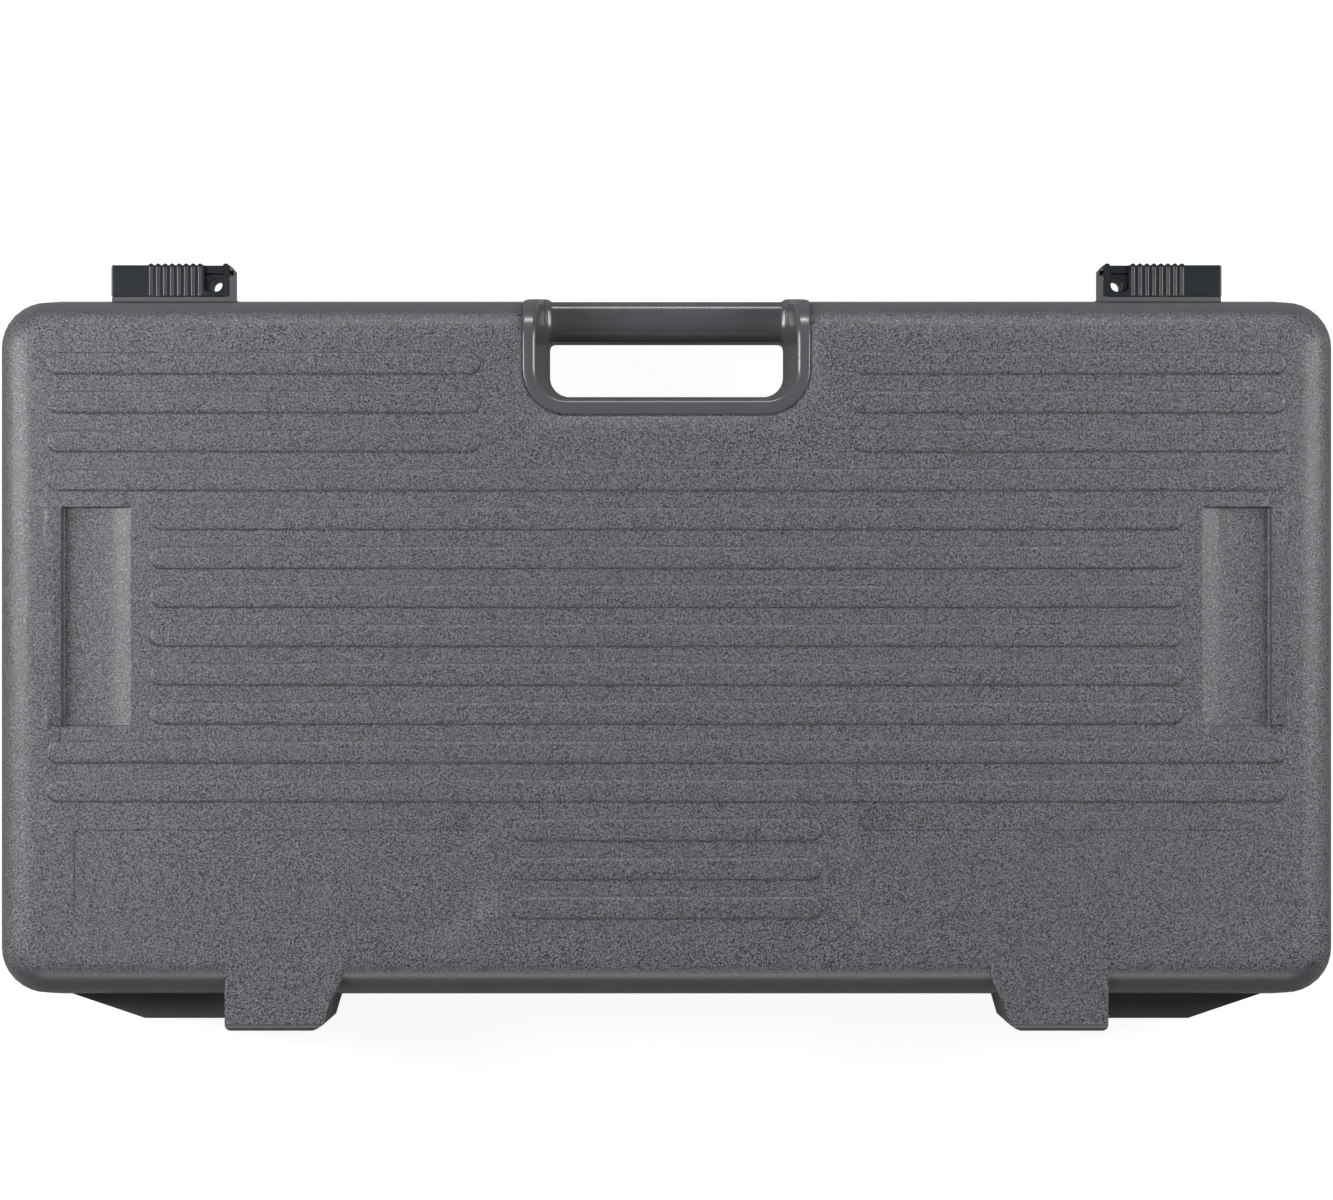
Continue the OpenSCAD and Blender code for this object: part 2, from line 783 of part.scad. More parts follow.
// The slider rides on the lid's rail. Its lower hooks pass between the base's fingers when it is free,
// and lie under them when it has moved outwards by the travel.
module latch_slider() {
    half = slider_h / 2;
    difference() {
        union() {
            latch_block(0, slider_len, slider_back_v, slider_front_v, flange_h, half);
            latch_block(0, slider_len, plate_v, slider_front_v, -half, flange_h + bite);
            latch_block(ribs_in, slider_len, boss_v + keeper_plate + flange_gap, channel_v - slide_gap,
                        rail_step + slide_gap, flange_h + bite);
            latch_block(ribs_in, slider_len, plate_v - 2, plate_v + bite, 0.7, rail_low - slide_gap);
            latch_block(slider_len - end_wall, slider_len, slider_back_v, plate_v + bite, 0.7, flange_h + bite);
            for (u = [hook_first, hook_second]) {
                latch_block(u, u + hook_len, slider_back_v + 2.5, plate_v + bite, -half, -flange_h);
            }
            for (i = [0 : grip_ribs - 1]) translate([latch_x + ribs_in + 1.1 + i * grip_pitch, 0, 0]) {
                translate([0, -grip_rib_v, 1 - half]) cylinder(r = grip_rib_r, h = slider_h - 1);
                translate([0, -slider_back_v, half - grip_rib_sink]) rotate([90, 0, 0]) {
                    cylinder(r = grip_rib_r, h = slider_d);
                }
            }
            translate([latch_x + bump_r, -front_v + bump_r, 1 - half]) cylinder(r = bump_r, h = slider_h - 1);
        }
        translate([0, 0, flange_h]) linear_extrude(slider_flange + 1) {
            u0 = latch_x + window_in;
            u1 = latch_x + window_out - window_r;
            translate([u0, -far]) square([window_out - window_in, far - window_v]);
            translate([u0, -window_v - bite]) square([u1 - u0, window_r + bite]);
            translate([u1, -window_v]) quarter(window_r);
        }
    }
}

module latch_spring() {
    spring_out = spring_in + spring_len;
    latch_block(spring_in, spring_out, spring_v, spring_v + spring_t, spring_low, spring_high);
    intersection() {
        translate([latch_x + (spring_in + spring_out) / 2, -rail_v + 1, spring_low]) {
            cylinder(r = 1.2, h = spring_high - spring_low);
        }
        latch_block(spring_in, spring_out, spring_v, rail_v + 1, spring_low, spring_high);
    }
}

module hinge_pin() {
    translate([ear_x + 1, hinge_y, 0]) rotate([0, 90, 0]) cylinder(r = pin_r, h = tab_x - ear_x - 2);
}

// ---- foam, feet and screws ----

// The room inside the base that foam can fill
module base_room() {
    intersection() {
        translate([0, 0, parting_z]) mirror([0, 0, 1]) half_block(wall + foam_gap, base_h);
        translate([-far, -far, foam_z]) cube([2 * far, 2 * far, foam_h]);
    }
}

module pocket(x0, x1, y0, y1) {
    translate([0, 0, pocket_floor_z]) linear_extrude(foam_h) round_rect(x0, y0, x1, y1, 6);
}

module foam_side(side) {
    x0 = foam_mid_w / 2 + foam_split;
    mid = (x0 + edge_x - wall - 6) / 2;
    reach = pedal_w + pedal_wall / 2;
    in_case() on_side(side) difference() {
        intersection() {
            base_room();
            translate([x0, -far, 0]) cube([far, 2 * far, far]);
        }
        pocket(mid - reach, mid - pedal_wall / 2, pedal_front_y, pedal_rear_y);
        pocket(mid + pedal_wall / 2, mid + reach, pedal_front_y, pedal_rear_y);
        pocket(mid - reach, mid + reach, tray_rear_y - tray_d, tray_rear_y);
        at_feet() cylinder(r = 5 + 1.5, h = foot_h + wall + foot_boss_h + 1.5);
        translate([0, 0, parting_z]) for (u = screw_ins) {
            translate([latch_x + u - 6, -far, -keeper_screw_z - 6]) cube([12, far - seat_v + 4, 12]);
        }
    }
}

module foam_middle() {
    half = foam_mid_w / 2;
    reach = pedal_w + pedal_wall / 2;
    in_case() difference() {
        intersection() {
            base_room();
            translate([-half, -far, 0]) cube([2 * half, 2 * far, far]);
        }
        translate([0, 0, -1]) linear_extrude(far) {
            well_x = well_half(base_h) + wall + 1.5;
            well_y = well_rear(base_h) + wall + 1.5;
            translate([-well_x, -far]) square([2 * well_x, far + well_y]);
        }
        pocket(-reach, -pedal_wall / 2, pedal_front_y, pedal_rear_y);
        pocket(pedal_wall / 2, reach, pedal_front_y, pedal_rear_y);
        pocket(-reach, reach, well_rear(base_h) + wall + 22, tray_rear_y);
    }
}

module lid_foam() {
    on_lid() difference() {
        intersection() {
            half_block(wall + foam_gap, lid_h);
            translate([-far, -far, lid_h - wall - 0.3 - lid_foam_h]) cube([2 * far, 2 * far, lid_foam_h]);
        }
        well_space(wall + 1.5, 0, lid_h + 1);
        both_sides() translate([pocket_x - pocket_w - wall - 2, pocket_y - pocket_len / 2 - wall - 1, 0]) {
            translate([0, 0, lid_h - pocket_depth - wall - 1]) {
                cube([pocket_w + 2 * wall + 4, pocket_len + 2 * wall + 2, far]);
            }
        }
    }
}

module rubber_foot() {
    difference() {
        union() {
            cylinder(r = foot_r, h = foot_h - 1);
            translate([0, 0, foot_h - 1]) cylinder(r = foot_r + 1, h = 1);
        }
        translate([0, 0, -1]) cylinder(r = head_r + 0.5, h = head_h + 1.6);
        cylinder(r = screw_r + screw_gap, h = foot_h + 1);
    }
}

module foot_screw() {
    translate([0, 0, 0.6]) difference() {
        cylinder(r = head_r, h = head_h);
        translate([0, 0, -1]) cylinder(r = 1.2, h = 2.2, $fn = 6);
    }
    translate([0, 0, 0.6 + head_h - bite]) cylinder(r = screw_r, h = foot_screw_len + bite);
}

base_shell();
lid_shell();
color(foam_black) foam_side(-1);  // base_foam_left
color(foam_black) foam_middle();  // base_foam_middle
color(foam_black) foam_side(1);  // base_foam_right
color(foam_black) lid_foam();  // lid_foam_pad
color(steel) on_lid() on_side(-1) hinge_pin();  // hinge_pin_left
color(steel) on_lid() on_side(1) hinge_pin();  // hinge_pin_right
color(latch_black) on_base() on_side(-1) base_keeper();  // base_keeper_left
color(latch_black) on_base() on_side(1) base_keeper();  // base_keeper_right
color(latch_black) on_lid() on_side(-1) lid_keeper();  // lid_keeper_left
color(latch_black) on_lid() on_side(1) lid_keeper();  // lid_keeper_right
color(latch_black) on_lid() on_side(-1) latch_slider();  // latch_slider_left
color(latch_black) on_lid() on_side(1) latch_slider();  // latch_slider_right
color(steel) on_lid() on_side(-1) latch_spring();  // latch_spring_left
color(steel) on_lid() on_side(1) latch_spring();  // latch_spring_right
color(steel) on_base() both_sides() keeper_screw_pair();  // base_keeper_screws
color(steel) on_lid() both_sides() keeper_screw_pair();  // lid_keeper_screws
color(rubber_black) in_case() at_feet() rubber_foot();  // rubber_feet
color(steel) in_case() at_feet() foot_screw();  // foot_screws
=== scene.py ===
import math

import bmesh
import bpy
import numpy as np
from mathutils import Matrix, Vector


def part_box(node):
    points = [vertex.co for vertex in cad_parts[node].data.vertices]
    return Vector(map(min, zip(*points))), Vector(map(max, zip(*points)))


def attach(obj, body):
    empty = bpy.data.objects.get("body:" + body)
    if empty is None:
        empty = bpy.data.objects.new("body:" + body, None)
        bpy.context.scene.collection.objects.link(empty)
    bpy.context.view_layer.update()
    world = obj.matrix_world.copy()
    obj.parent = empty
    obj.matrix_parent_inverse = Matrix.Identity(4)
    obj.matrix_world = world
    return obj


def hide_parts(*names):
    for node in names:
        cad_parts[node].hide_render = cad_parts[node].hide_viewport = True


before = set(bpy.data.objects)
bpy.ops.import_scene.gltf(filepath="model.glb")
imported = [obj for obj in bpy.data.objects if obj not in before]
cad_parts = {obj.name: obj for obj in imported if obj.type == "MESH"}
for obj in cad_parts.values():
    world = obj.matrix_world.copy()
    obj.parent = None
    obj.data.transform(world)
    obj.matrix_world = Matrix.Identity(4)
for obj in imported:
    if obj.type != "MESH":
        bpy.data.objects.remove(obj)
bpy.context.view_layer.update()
print("frame loaded:", len(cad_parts), "nodes")

# Sizes are in millimetres, in the case's own coordinates: x and y from its middle, heights from the parting line.
mm = 0.001
weldGap = 0.005 * mm           # points of a mesh that are closer than this are one point
flatTurn = math.radians(1.0)   # neighbouring faces that turn less than this are one flat face
sharpTurn = math.radians(40)   # an edge that turns more than this is shaded sharp
bevelTurn = math.radians(35)   # and one that turns more than this is rounded
case = {
    "width": 675.0,        # at the parting line
    "depth": 354.8,
    "shiftY": 2.5,         # from the middle of the body to the frame's origin
    "partingZ": 72.0,      # height of the parting line over the floor
    "cornerR": 27.4,       # upright corners, at the parting line
    "edgeR": 18.0,         # edge between walls and faces
    "draft": math.radians(6.0),
    "wall": 3.0,
    "lidH": 59.8,          # from the parting line to the lid's face
    "baseH": 68.0,         # from the parting line to the base's face
}
edgeX = case["width"] / 2
edgeY = case["depth"] / 2
axisX = edgeX - case["cornerR"]
axisY = edgeY - case["cornerR"]


# Mesh tools: whole arrays of points, millimetres in, metres out.

def gridPart(points, closeU=False, closeV=False, flip=False):
    # a surface of two parameters: quads between neighbours on a grid of points
    nu, nv = points.shape[:2]
    index = np.arange(nu * nv).reshape(nu, nv)
    if closeU:
        index = np.vstack([index, index[:1]])
    if closeV:
        index = np.hstack([index, index[:, :1]])
    quads = np.stack([index[:-1, :-1], index[1:, :-1], index[1:, 1:], index[:-1, 1:]], -1).reshape(-1, 4)
    return points.reshape(-1, 3), quads[:, ::-1] if flip else quads


def joinParts(parts):
    # parts one after the other in a single list of points and faces
    starts = np.cumsum([0] + [len(p) for p, q in parts[:-1]])
    return np.vstack([p for p, q in parts]), np.vstack([q + s for (p, q), s in zip(parts, starts)])


def bothSides(part):
    # a part and its mirror image across x = 0, whose faces are turned to point outwards again
    points, quads = part
    return joinParts([part, (points * [-1, 1, 1], quads[:, ::-1])])


def linesBetween(breaks, step):
    # grid lines at every break and evenly between them, no further apart than step
    spans = [np.linspace(a, b, int(np.ceil((b - a) / step)) + 1)[:-1] for a, b in zip(breaks[:-1], breaks[1:])]
    return np.concatenate(spans + [[breaks[-1]]])


def smoothStep(t):
    # 0 up to t = 0 and 1 from t = 1, and in between three times its square less twice its cube
    t = np.clip(t, 0, 1)
    return t * t * (3 - 2 * t)


def placeObject(name, mesh):
    obj = bpy.data.objects.new(name, mesh)
    bpy.context.scene.collection.objects.link(obj)
    return obj


def meshObject(name, part, grain, side=1, closed=True):
    # part as an object in the frame: doubles merged, faces without area removed, closed shapes turned outwards.
    # side is -1 for the base, whose heights count downwards from the parting line
    points, quads = part
    mesh = bpy.data.meshes.new(name)
    place = points * [1, 1, side] + [0, case["shiftY"], case["partingZ"]]
    mesh.from_pydata((place * mm).tolist(), [], (quads if side > 0 else quads[:, ::-1]).tolist())
    layer = mesh.attributes.new("grain", "FLOAT", "POINT")
    layer.data.foreach_set("value", np.broadcast_to(grain, len(points)).astype(np.float32))
    edit = bmesh.new()
    edit.from_mesh(mesh)
    bmesh.ops.remove_doubles(edit, verts=edit.verts, dist=2 * weldGap)
    bmesh.ops.dissolve_degenerate(edit, edges=edit.edges, dist=weldGap)
    if closed:
        bmesh.ops.recalc_face_normals(edit, faces=edit.faces)
    edit.to_mesh(mesh)
    edit.free()
    mesh.shade_smooth()
    mesh.set_sharp_from_angle(angle=sharpTurn)
    return placeObject(name, mesh)


def dress(obj, body, nodes, material):
    # a finished piece: its material, the body it rides on and the CAD nodes it stands for
    obj.data.materials.clear()
    obj.data.materials.append(material)
    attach(obj, body)
    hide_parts(*nodes)


def addSolidify(obj, thickness, even=True):
    # a wall inwards from the surface
    solid = obj.modifiers.new("wall", "SOLIDIFY")
    solid.thickness = thickness * mm
    solid.offset = -1
    solid.use_even_offset = even


def addBevel(obj, width, segments=3):
    # a small rounding of the edges
    bevel = obj.modifiers.new("edges", "BEVEL")
    bevel.width = width * mm
    bevel.segments = segments
    bevel.limit_method = "ANGLE"
    bevel.angle_limit = bevelTurn


# Materials.

def srgb(code):
    # a hex colour as Blender's linear values
    parts = [int(code[i:i + 2], 16) / 255 for i in (1, 3, 5)]
    return [c / 12.92 if c <= 0.04045 else ((c + 0.055) / 1.055) ** 2.4 for c in parts] + [1.0]


def addNode(tree, kind, inputs=None, **settings):
    # one node with its settings; an input is a value, or a socket to link from
    made = tree.nodes.new(kind)
    for key, value in settings.items():
        setattr(made, key, value)
    for key, value in (inputs or {}).items():
        if isinstance(value, bpy.types.NodeSocket):
            tree.links.new(value, made.inputs[key])
        else:
            made.inputs[key].default_value = value
    return made


def newMaterial(name):
    material = bpy.data.materials.new(name)
    material.use_nodes = True
    tree = material.node_tree
    tree.nodes.clear()
    place = addNode(tree, "ShaderNodeTexCoord").outputs["Object"]
    shader = addNode(tree, "ShaderNodeBsdfPrincipled")
    addNode(tree, "ShaderNodeOutputMaterial", {"Surface": shader.outputs["BSDF"]})
    return material, tree, place, shader


def perMetre(size):
    # a texture's scale for a feature of that size in millimetres
    return 1.0 / (size * mm)


def linkBump(tree, shader, height, show, depth):
    # height as a bump of the shader's normal: show is its strength and depth its size in millimetres
    bump = addNode(tree, "ShaderNodeBump", {"Height": height, "Strength": show, "Distance": depth * mm})
    tree.links.new(bump.outputs["Normal"], shader.inputs["Normal"])


mixA, mixB, mixOut = 6, 7, 2   # the colour sockets of a Mix node
noiseLow, noiseHigh = 0.3, 0.7   # nearly all of a noise's values lie between these

# Injection-moulded ABS from an etched mould: matt grey, with a pebble grain that catches the side lights as speckles.
# A piece's grain attribute is 1 where the mould was etched, 0 where it was left smooth and -1 where it was polished.
# The real grain is taken to be about 0.8 mm wide. It is drawn a little coarser, so that it shows in a picture of the
# whole case.
# The pebbles' colour holds painted shade and painted light: darker in their valleys and lighter on their tops.
absLook = {
    "paintedLightPeak": "#7B7D81",
    "paintedShadeValley": "#28292C",
    "smooth": "#535457",
    "flow": "#5B5C5F",     # paler clouds, where the plastic flowed along the smooth parts of the mould
    "flowSize": 16.0,      # mm
    "pebble": 0.85,        # width of a pebble, mm
    "foot": 0.4,           # the noise's value at a pebble's foot
    "top": 0.64,           # and at its top
    "grit": 0.45,          # width of the fine grit over the pebbles, mm
    "gritShare": 0.35,     # of a pebble's height
    "depth": 0.11,         # mm
    "turn": (0.5, 0.4, 0.3),   # the pattern is turned, so that no flat face lies along its cells
    "roughGrain": 0.27,
    "roughPolished": 0.21,
    "roughFlow": 0.08,     # what the clouds add
    "specular": 0.8,       # fitted to the bright bands along the photo's side walls
}


def makeAbs():
    material, tree, place, shader = newMaterial("pebble-grained moulded ABS")
    grain = addNode(tree, "ShaderNodeAttribute", attribute_name="grain").outputs["Fac"]
    place = addNode(tree, "ShaderNodeMapping", {"Vector": place, "Rotation": absLook["turn"]}).outputs["Vector"]
    pebbles = addNode(tree, "ShaderNodeTexNoise", {
        "Vector": place, "Scale": perMetre(absLook["pebble"]), "Detail": 2.0, "Roughness": 0.65, "Distortion": 0.4})
    grit = addNode(tree, "ShaderNodeTexNoise", {
        "Vector": place, "Scale": perMetre(absLook["grit"]), "Detail": 1.0, "Roughness": 0.5})
    shaped = addNode(tree, "ShaderNodeMapRange", {
        "Value": pebbles.outputs["Fac"], "From Min": absLook["foot"], "From Max": absLook["top"]})
    both = addNode(tree, "ShaderNodeMath", {
        0: grit.outputs["Fac"], 1: absLook["gritShare"], 2: shaped.outputs["Result"]}, operation="MULTIPLY_ADD")
    etched = addNode(tree, "ShaderNodeMath", {0: grain, 1: 0.0}, operation="MAXIMUM")
    height = addNode(tree, "ShaderNodeMath", {0: both.outputs[0], 1: etched.outputs[0]}, operation="MULTIPLY")
    linkBump(tree, shader, height.outputs[0], 1.0, absLook["depth"])
    # painted shade at a pebble's foot, running to painted light at its top
    tint = addNode(tree, "ShaderNodeMix", {
        0: shaped.outputs["Result"], mixA: srgb(absLook["paintedShadeValley"]), mixB: srgb(absLook["paintedLightPeak"])}, data_type="RGBA")
    clouds = addNode(tree, "ShaderNodeTexNoise", {
        "Vector": place, "Scale": perMetre(absLook["flowSize"]), "Detail": 3.0, "Roughness": 0.55})
    plain = addNode(tree, "ShaderNodeMix", {
        0: clouds.outputs["Fac"], mixA: srgb(absLook["smooth"]), mixB: srgb(absLook["flow"])}, data_type="RGBA")
    level = addNode(tree, "ShaderNodeMix", {
        0: grain, mixA: plain.outputs[mixOut], mixB: tint.outputs[mixOut]}, data_type="RGBA")
    tree.links.new(level.outputs[mixOut], shader.inputs["Base Color"])
    rough = addNode(tree, "ShaderNodeMapRange", {
        "Value": grain, "From Min": -1.0, "From Max": 0.0,
        "To Min": absLook["roughPolished"], "To Max": absLook["roughGrain"]})
    uneven = addNode(tree, "ShaderNodeMath", {
        0: clouds.outputs["Fac"], 1: absLook["roughFlow"], 2: rough.outputs["Result"]}, operation="MULTIPLY_ADD")
    tree.links.new(uneven.outputs[0], shader.inputs["Roughness"])
    shader.inputs["Specular IOR Level"].default_value = absLook["specular"]
    return material


# Moulded acetal, black: smooth and slightly waxy, with faint sink and rub marks where fingers push it.
acetalLook = {
    "colour": "#1E2226",
    "worn": "#22272B",
    "patch": 9.0,          # mm
    "scuff": 0.5,          # mm
    "show": 0.25,
    "depth": 0.03,         # mm
    "roughLow": 0.3,
    "roughHigh": 0.34,
}


def makeAcetal():
    material, tree, place, shader = newMaterial("black moulded acetal")
    patch = addNode(tree, "ShaderNodeTexNoise", {
        "Vector": place, "Scale": perMetre(acetalLook["patch"]), "Detail": 3.0, "Roughness": 0.6})
    scuff = addNode(tree, "ShaderNodeTexNoise", {
        "Vector": place, "Scale": perMetre(acetalLook["scuff"]), "Detail": 2.0, "Roughness": 0.5})
    tint = addNode(tree, "ShaderNodeMix", {
        0: patch.outputs["Fac"], mixA: srgb(acetalLook["colour"]), mixB: srgb(acetalLook["worn"])}, data_type="RGBA")
    tree.links.new(tint.outputs[mixOut], shader.inputs["Base Color"])
    rough = addNode(tree, "ShaderNodeMapRange", {
        "Value": patch.outputs["Fac"], "From Min": noiseLow, "From Max": noiseHigh,
        "To Min": acetalLook["roughLow"], "To Max": acetalLook["roughHigh"]})
    tree.links.new(rough.outputs["Result"], shader.inputs["Roughness"])
    linkBump(tree, shader, scuff.outputs["Fac"], acetalLook["show"], acetalLook["depth"])
    return material


# Zinc-plated steel, drawn and lightly brushed: bright grey with fine lines along the part.
steelLook = {
    "colour": "#B9BBBD",
    "lines": 0.25,         # mm between lines
    "stretch": 0.04,       # scale of the pattern along x, which draws it out into lines
    "show": 0.3,
    "depth": 0.01,         # mm
    "roughLow": 0.24,
    "roughHigh": 0.42,
}


def makeSteel():
    material, tree, place, shader = newMaterial("zinc-plated steel")
    along = addNode(tree, "ShaderNodeMapping", {"Vector": place, "Scale": (steelLook["stretch"], 1.0, 1.0)})
    lines = addNode(tree, "ShaderNodeTexNoise", {
        "Vector": along.outputs["Vector"], "Scale": perMetre(steelLook["lines"]), "Detail": 2.0, "Roughness": 0.6})
    rough = addNode(tree, "ShaderNodeMapRange", {
        "Value": lines.outputs["Fac"], "From Min": noiseLow, "From Max": noiseHigh,
        "To Min": steelLook["roughLow"], "To Max": steelLook["roughHigh"]})
    tree.links.new(rough.outputs["Result"], shader.inputs["Roughness"])
    linkBump(tree, shader, lines.outputs["Fac"], steelLook["show"], steelLook["depth"])
    shader.inputs["Base Color"].default_value = srgb(steelLook["colour"])
    shader.inputs["Metallic"].default_value = 1.0
    return material


# Open-cell polyurethane foam, charcoal: dull and soft, with cells that read as fine pits darkened by painted shade.
foamLook = {
    "colour": "#303134",
    # painted shade in the cells' pits
    "paintedShadePit": "#161618",
    "cell": 1.3,           # mm, coarser than real cells, so that they show
    "low": 0.1,            # distance from a cell's middle, in cells, at which its pit ends
    "high": 0.6,           # and where the skin between cells is highest
    "show": 0.8,
    "depth": 0.5,          # mm
    "rough": 0.95,
    "sheen": 0.15,
}


def makeFoam():
    material, tree, place, shader = newMaterial("open-cell polyurethane foam")
    cells = addNode(tree, "ShaderNodeTexVoronoi", {"Vector": place, "Scale": perMetre(foamLook["cell"])})
    spread = addNode(tree, "ShaderNodeMapRange", {
        "Value": cells.outputs["Distance"], "From Min": foamLook["low"], "From Max": foamLook["high"]})
    # painted shade: darker towards each cell's pit
    tint = addNode(tree, "ShaderNodeMix", {
        0: spread.outputs["Result"], mixA: srgb(foamLook["paintedShadePit"]), mixB: srgb(foamLook["colour"])}, data_type="RGBA")
    tree.links.new(tint.outputs[mixOut], shader.inputs["Base Color"])
    linkBump(tree, shader, spread.outputs["Result"], foamLook["show"], foamLook["depth"])
    shader.inputs["Roughness"].default_value = foamLook["rough"]
    shader.inputs["Sheen Weight"].default_value = foamLook["sheen"]
    return material


# Moulded synthetic rubber, black: matt, with a faint bloom on its face.
rubberLook = {
    "colour": "#1D1D1E",
    "bloom": "#2A2A2B",
    "patch": 6.0,          # mm
    "grit": 0.6,           # mm
    "show": 0.4,
    "depth": 0.06,         # mm
    "rough": 0.78,
}


def makeRubber():
    material, tree, place, shader = newMaterial("moulded rubber")
    patch = addNode(tree, "ShaderNodeTexNoise", {
        "Vector": place, "Scale": perMetre(rubberLook["patch"]), "Detail": 4.0, "Roughness": 0.6})
    tint = addNode(tree, "ShaderNodeMix", {
        0: patch.outputs["Fac"], mixA: srgb(rubberLook["colour"]), mixB: srgb(rubberLook["bloom"])}, data_type="RGBA")
    tree.links.new(tint.outputs[mixOut], shader.inputs["Base Color"])
    grit = addNode(tree, "ShaderNodeTexNoise", {"Vector": place, "Scale": perMetre(rubberLook["grit"]), "Detail": 2.0})
    linkBump(tree, shader, grit.outputs["Fac"], rubberLook["show"], rubberLook["depth"])
    shader.inputs["Roughness"].default_value = rubberLook["rough"]
    return material


shellAbs, latchAcetal, platedSteel = makeAbs(), makeAcetal(), makeSteel()
polyFoam, footRubber = makeFoam(), makeRubber()
print("materials made")


# The two shells.

opening = {
    "halfW": 59.6,         # half the hand opening's width at the parting line
    "rear": -128.5,        # its rear wall there
    "r": 10.0,
    "slope": math.tan(math.radians(5.0)),   # of its walls
    "rimSide": 11.9,       # from the outline at the parting line to the rim's outer edge, at the sides
    "rimRear": 12.6,       # and at the rear
    "rimH": 1.2,
    "rimEdge": 1.1,        # rounding of the rim's outer edge, its height
    "rimRun": 0.7,         # and its width as a share of that
    "rimSink": 1.2,        # the rim starts this far under the face
    "innerEdge": 2.2,      # rounding from the rim into the opening
    "cut": 5.4,            # the skins end this far outside the outline, under the rim
}
panel = {
    "x0": 95.3, "x1": 294.2, "y0": 90.4, "y1": 136.0,
    "r": 2.5,
    "depth": 0.5,
    "edge": 0.35,          # run of its walls
}
pocket = {
    "inner": 266.1,        # where the ramp starts
    "outer": 300.3,        # where the raised strip starts
    "strip": 307.8,        # and ends
    "y0": -70.0, "y1": 39.2,
    "wallX": 300.05,       # foot of the outer wall
    "slopeX": [266.1, 272.3, 274.8, 290.0, 300.1],
    "slopes": [24.0, 20.0, 5.0, 1.5, 0.3],   # of the floor at these places, degrees
    "fillet": 1.2,         # at the foot of the outer wall
    "rise": 1.2,           # height of the strip
    "edge": 0.7,           # run of the end walls
}
lid = {"height": case["lidH"], "side": 1, "body": "lid", "node": "lid_shell", "dressed": True}
base = {"height": case["baseH"], "side": -1, "body": "base", "node": "base_shell", "dressed": False}
gridStep = 26.0            # the face's grid lines are no further apart
etch = {                   # where the grain fades out, and over how many millimetres
    "rear": 157.0, "rearFade": 8.0,
    "front": 163.5, "frontFade": 6.0,
    "side": 8.0, "sideFade": 5.0,          # from the widest place inwards
    "sideWalls": 0.25,                     # what stays of it on the side walls
    "low": 2.5, "lowFade": 3.0,            # over the parting line
}


def edgeCentre(half):
    # distance from a corner's axis to the centre of the rounded edge's arc
    r, slope = case["edgeR"], case["draft"]
    return case["cornerR"] - (half["height"] - r) * math.tan(slope) - r / math.cos(slope)


def shellSection(half):
    # outer section from the flat face outwards: a round edge, a sloping wall and a small rounding at the parting line
    r, slope, centre = case["edgeR"], case["draft"], edgeCentre(half)
    a = np.linspace(math.pi / 2, slope, 17)
    arc = np.stack([centre + r * np.cos(a), half["height"] - r + r * np.sin(a)], -1)
    z = np.array([36.0, 28.0, 20.0, 12.0, 5.0, 1.6, 0.6, 0.15, 0.0])
    inset = np.array([0, 0, 0, 0, 0, 0, 0.02, 0.2, 0.5])
    return np.vstack([arc, np.stack([case["cornerR"] - z * math.tan(slope) - inset, z], -1)])


def boxDistance(x, y, x0, x1, y0, y1, r):
    # signed distance to a rectangle with round corners, negative inside
    qx = np.abs(x - (x0 + x1) / 2) - (x1 - x0) / 2 + r
    qy = np.abs(y - (y0 + y1) / 2) - (y1 - y0) / 2 + r
    return np.hypot(np.maximum(qx, 0), np.maximum(qy, 0)) + np.minimum(np.maximum(qx, qy), 0) - r


def pocketProfile():
    # along x from the inner edge: a steep ramp, a nearly level floor, the outer wall and the raised strip.
    # The slope is given at a few places and its heights are summed up
    p = pocket
    x = np.concatenate([np.linspace(p["inner"], p["wallX"] - p["fillet"], 22)[:-1],
                        p["wallX"] - p["fillet"] * (1 - np.sin(np.radians(np.linspace(0, 84, 6))))])
    slope = np.tan(np.radians(np.interp(x, p["slopeX"], p["slopes"])))
    drop = np.concatenate([[0], np.cumsum((slope[1:] + slope[:-1]) / 2 * np.diff(x))])
    foot = x > p["wallX"] - p["fillet"]
    drop[foot] -= p["fillet"] - np.sqrt(np.maximum(p["fillet"] ** 2 - (x[foot] - p["wallX"] + p["fillet"]) ** 2, 0))
    floor = np.stack([x, -drop], -1)
    strip = np.array([[0.0, p["rise"] - 0.45], [0.12, p["rise"] - 0.13], [0.45, p["rise"]]])
    outer = np.array([[-0.6, p["rise"]], [-0.2, p["rise"] - 0.2], [0.0, 0.0]])
    return np.vstack([floor, strip + [p["outer"], 0], outer + [p["strip"], 0]])


def faceHeight(x, y):
    # the lid's face over its flat level: panels and side pockets, as a function of place
    x = np.abs(x)
    toPanel = boxDistance(x, y, panel["x0"], panel["x1"], panel["y0"], panel["y1"], panel["r"])
    toPocket = boxDistance(x, y, pocket["inner"] - 9, pocket["strip"], pocket["y0"], pocket["y1"], 1.5)
    profile = pocketProfile()
    shape = np.interp(x, profile[:, 0], profile[:, 1], left=0, right=0)
    return shape * smoothStep(-toPocket / pocket["edge"]) - panel["depth"] * smoothStep(-toPanel / panel["edge"])


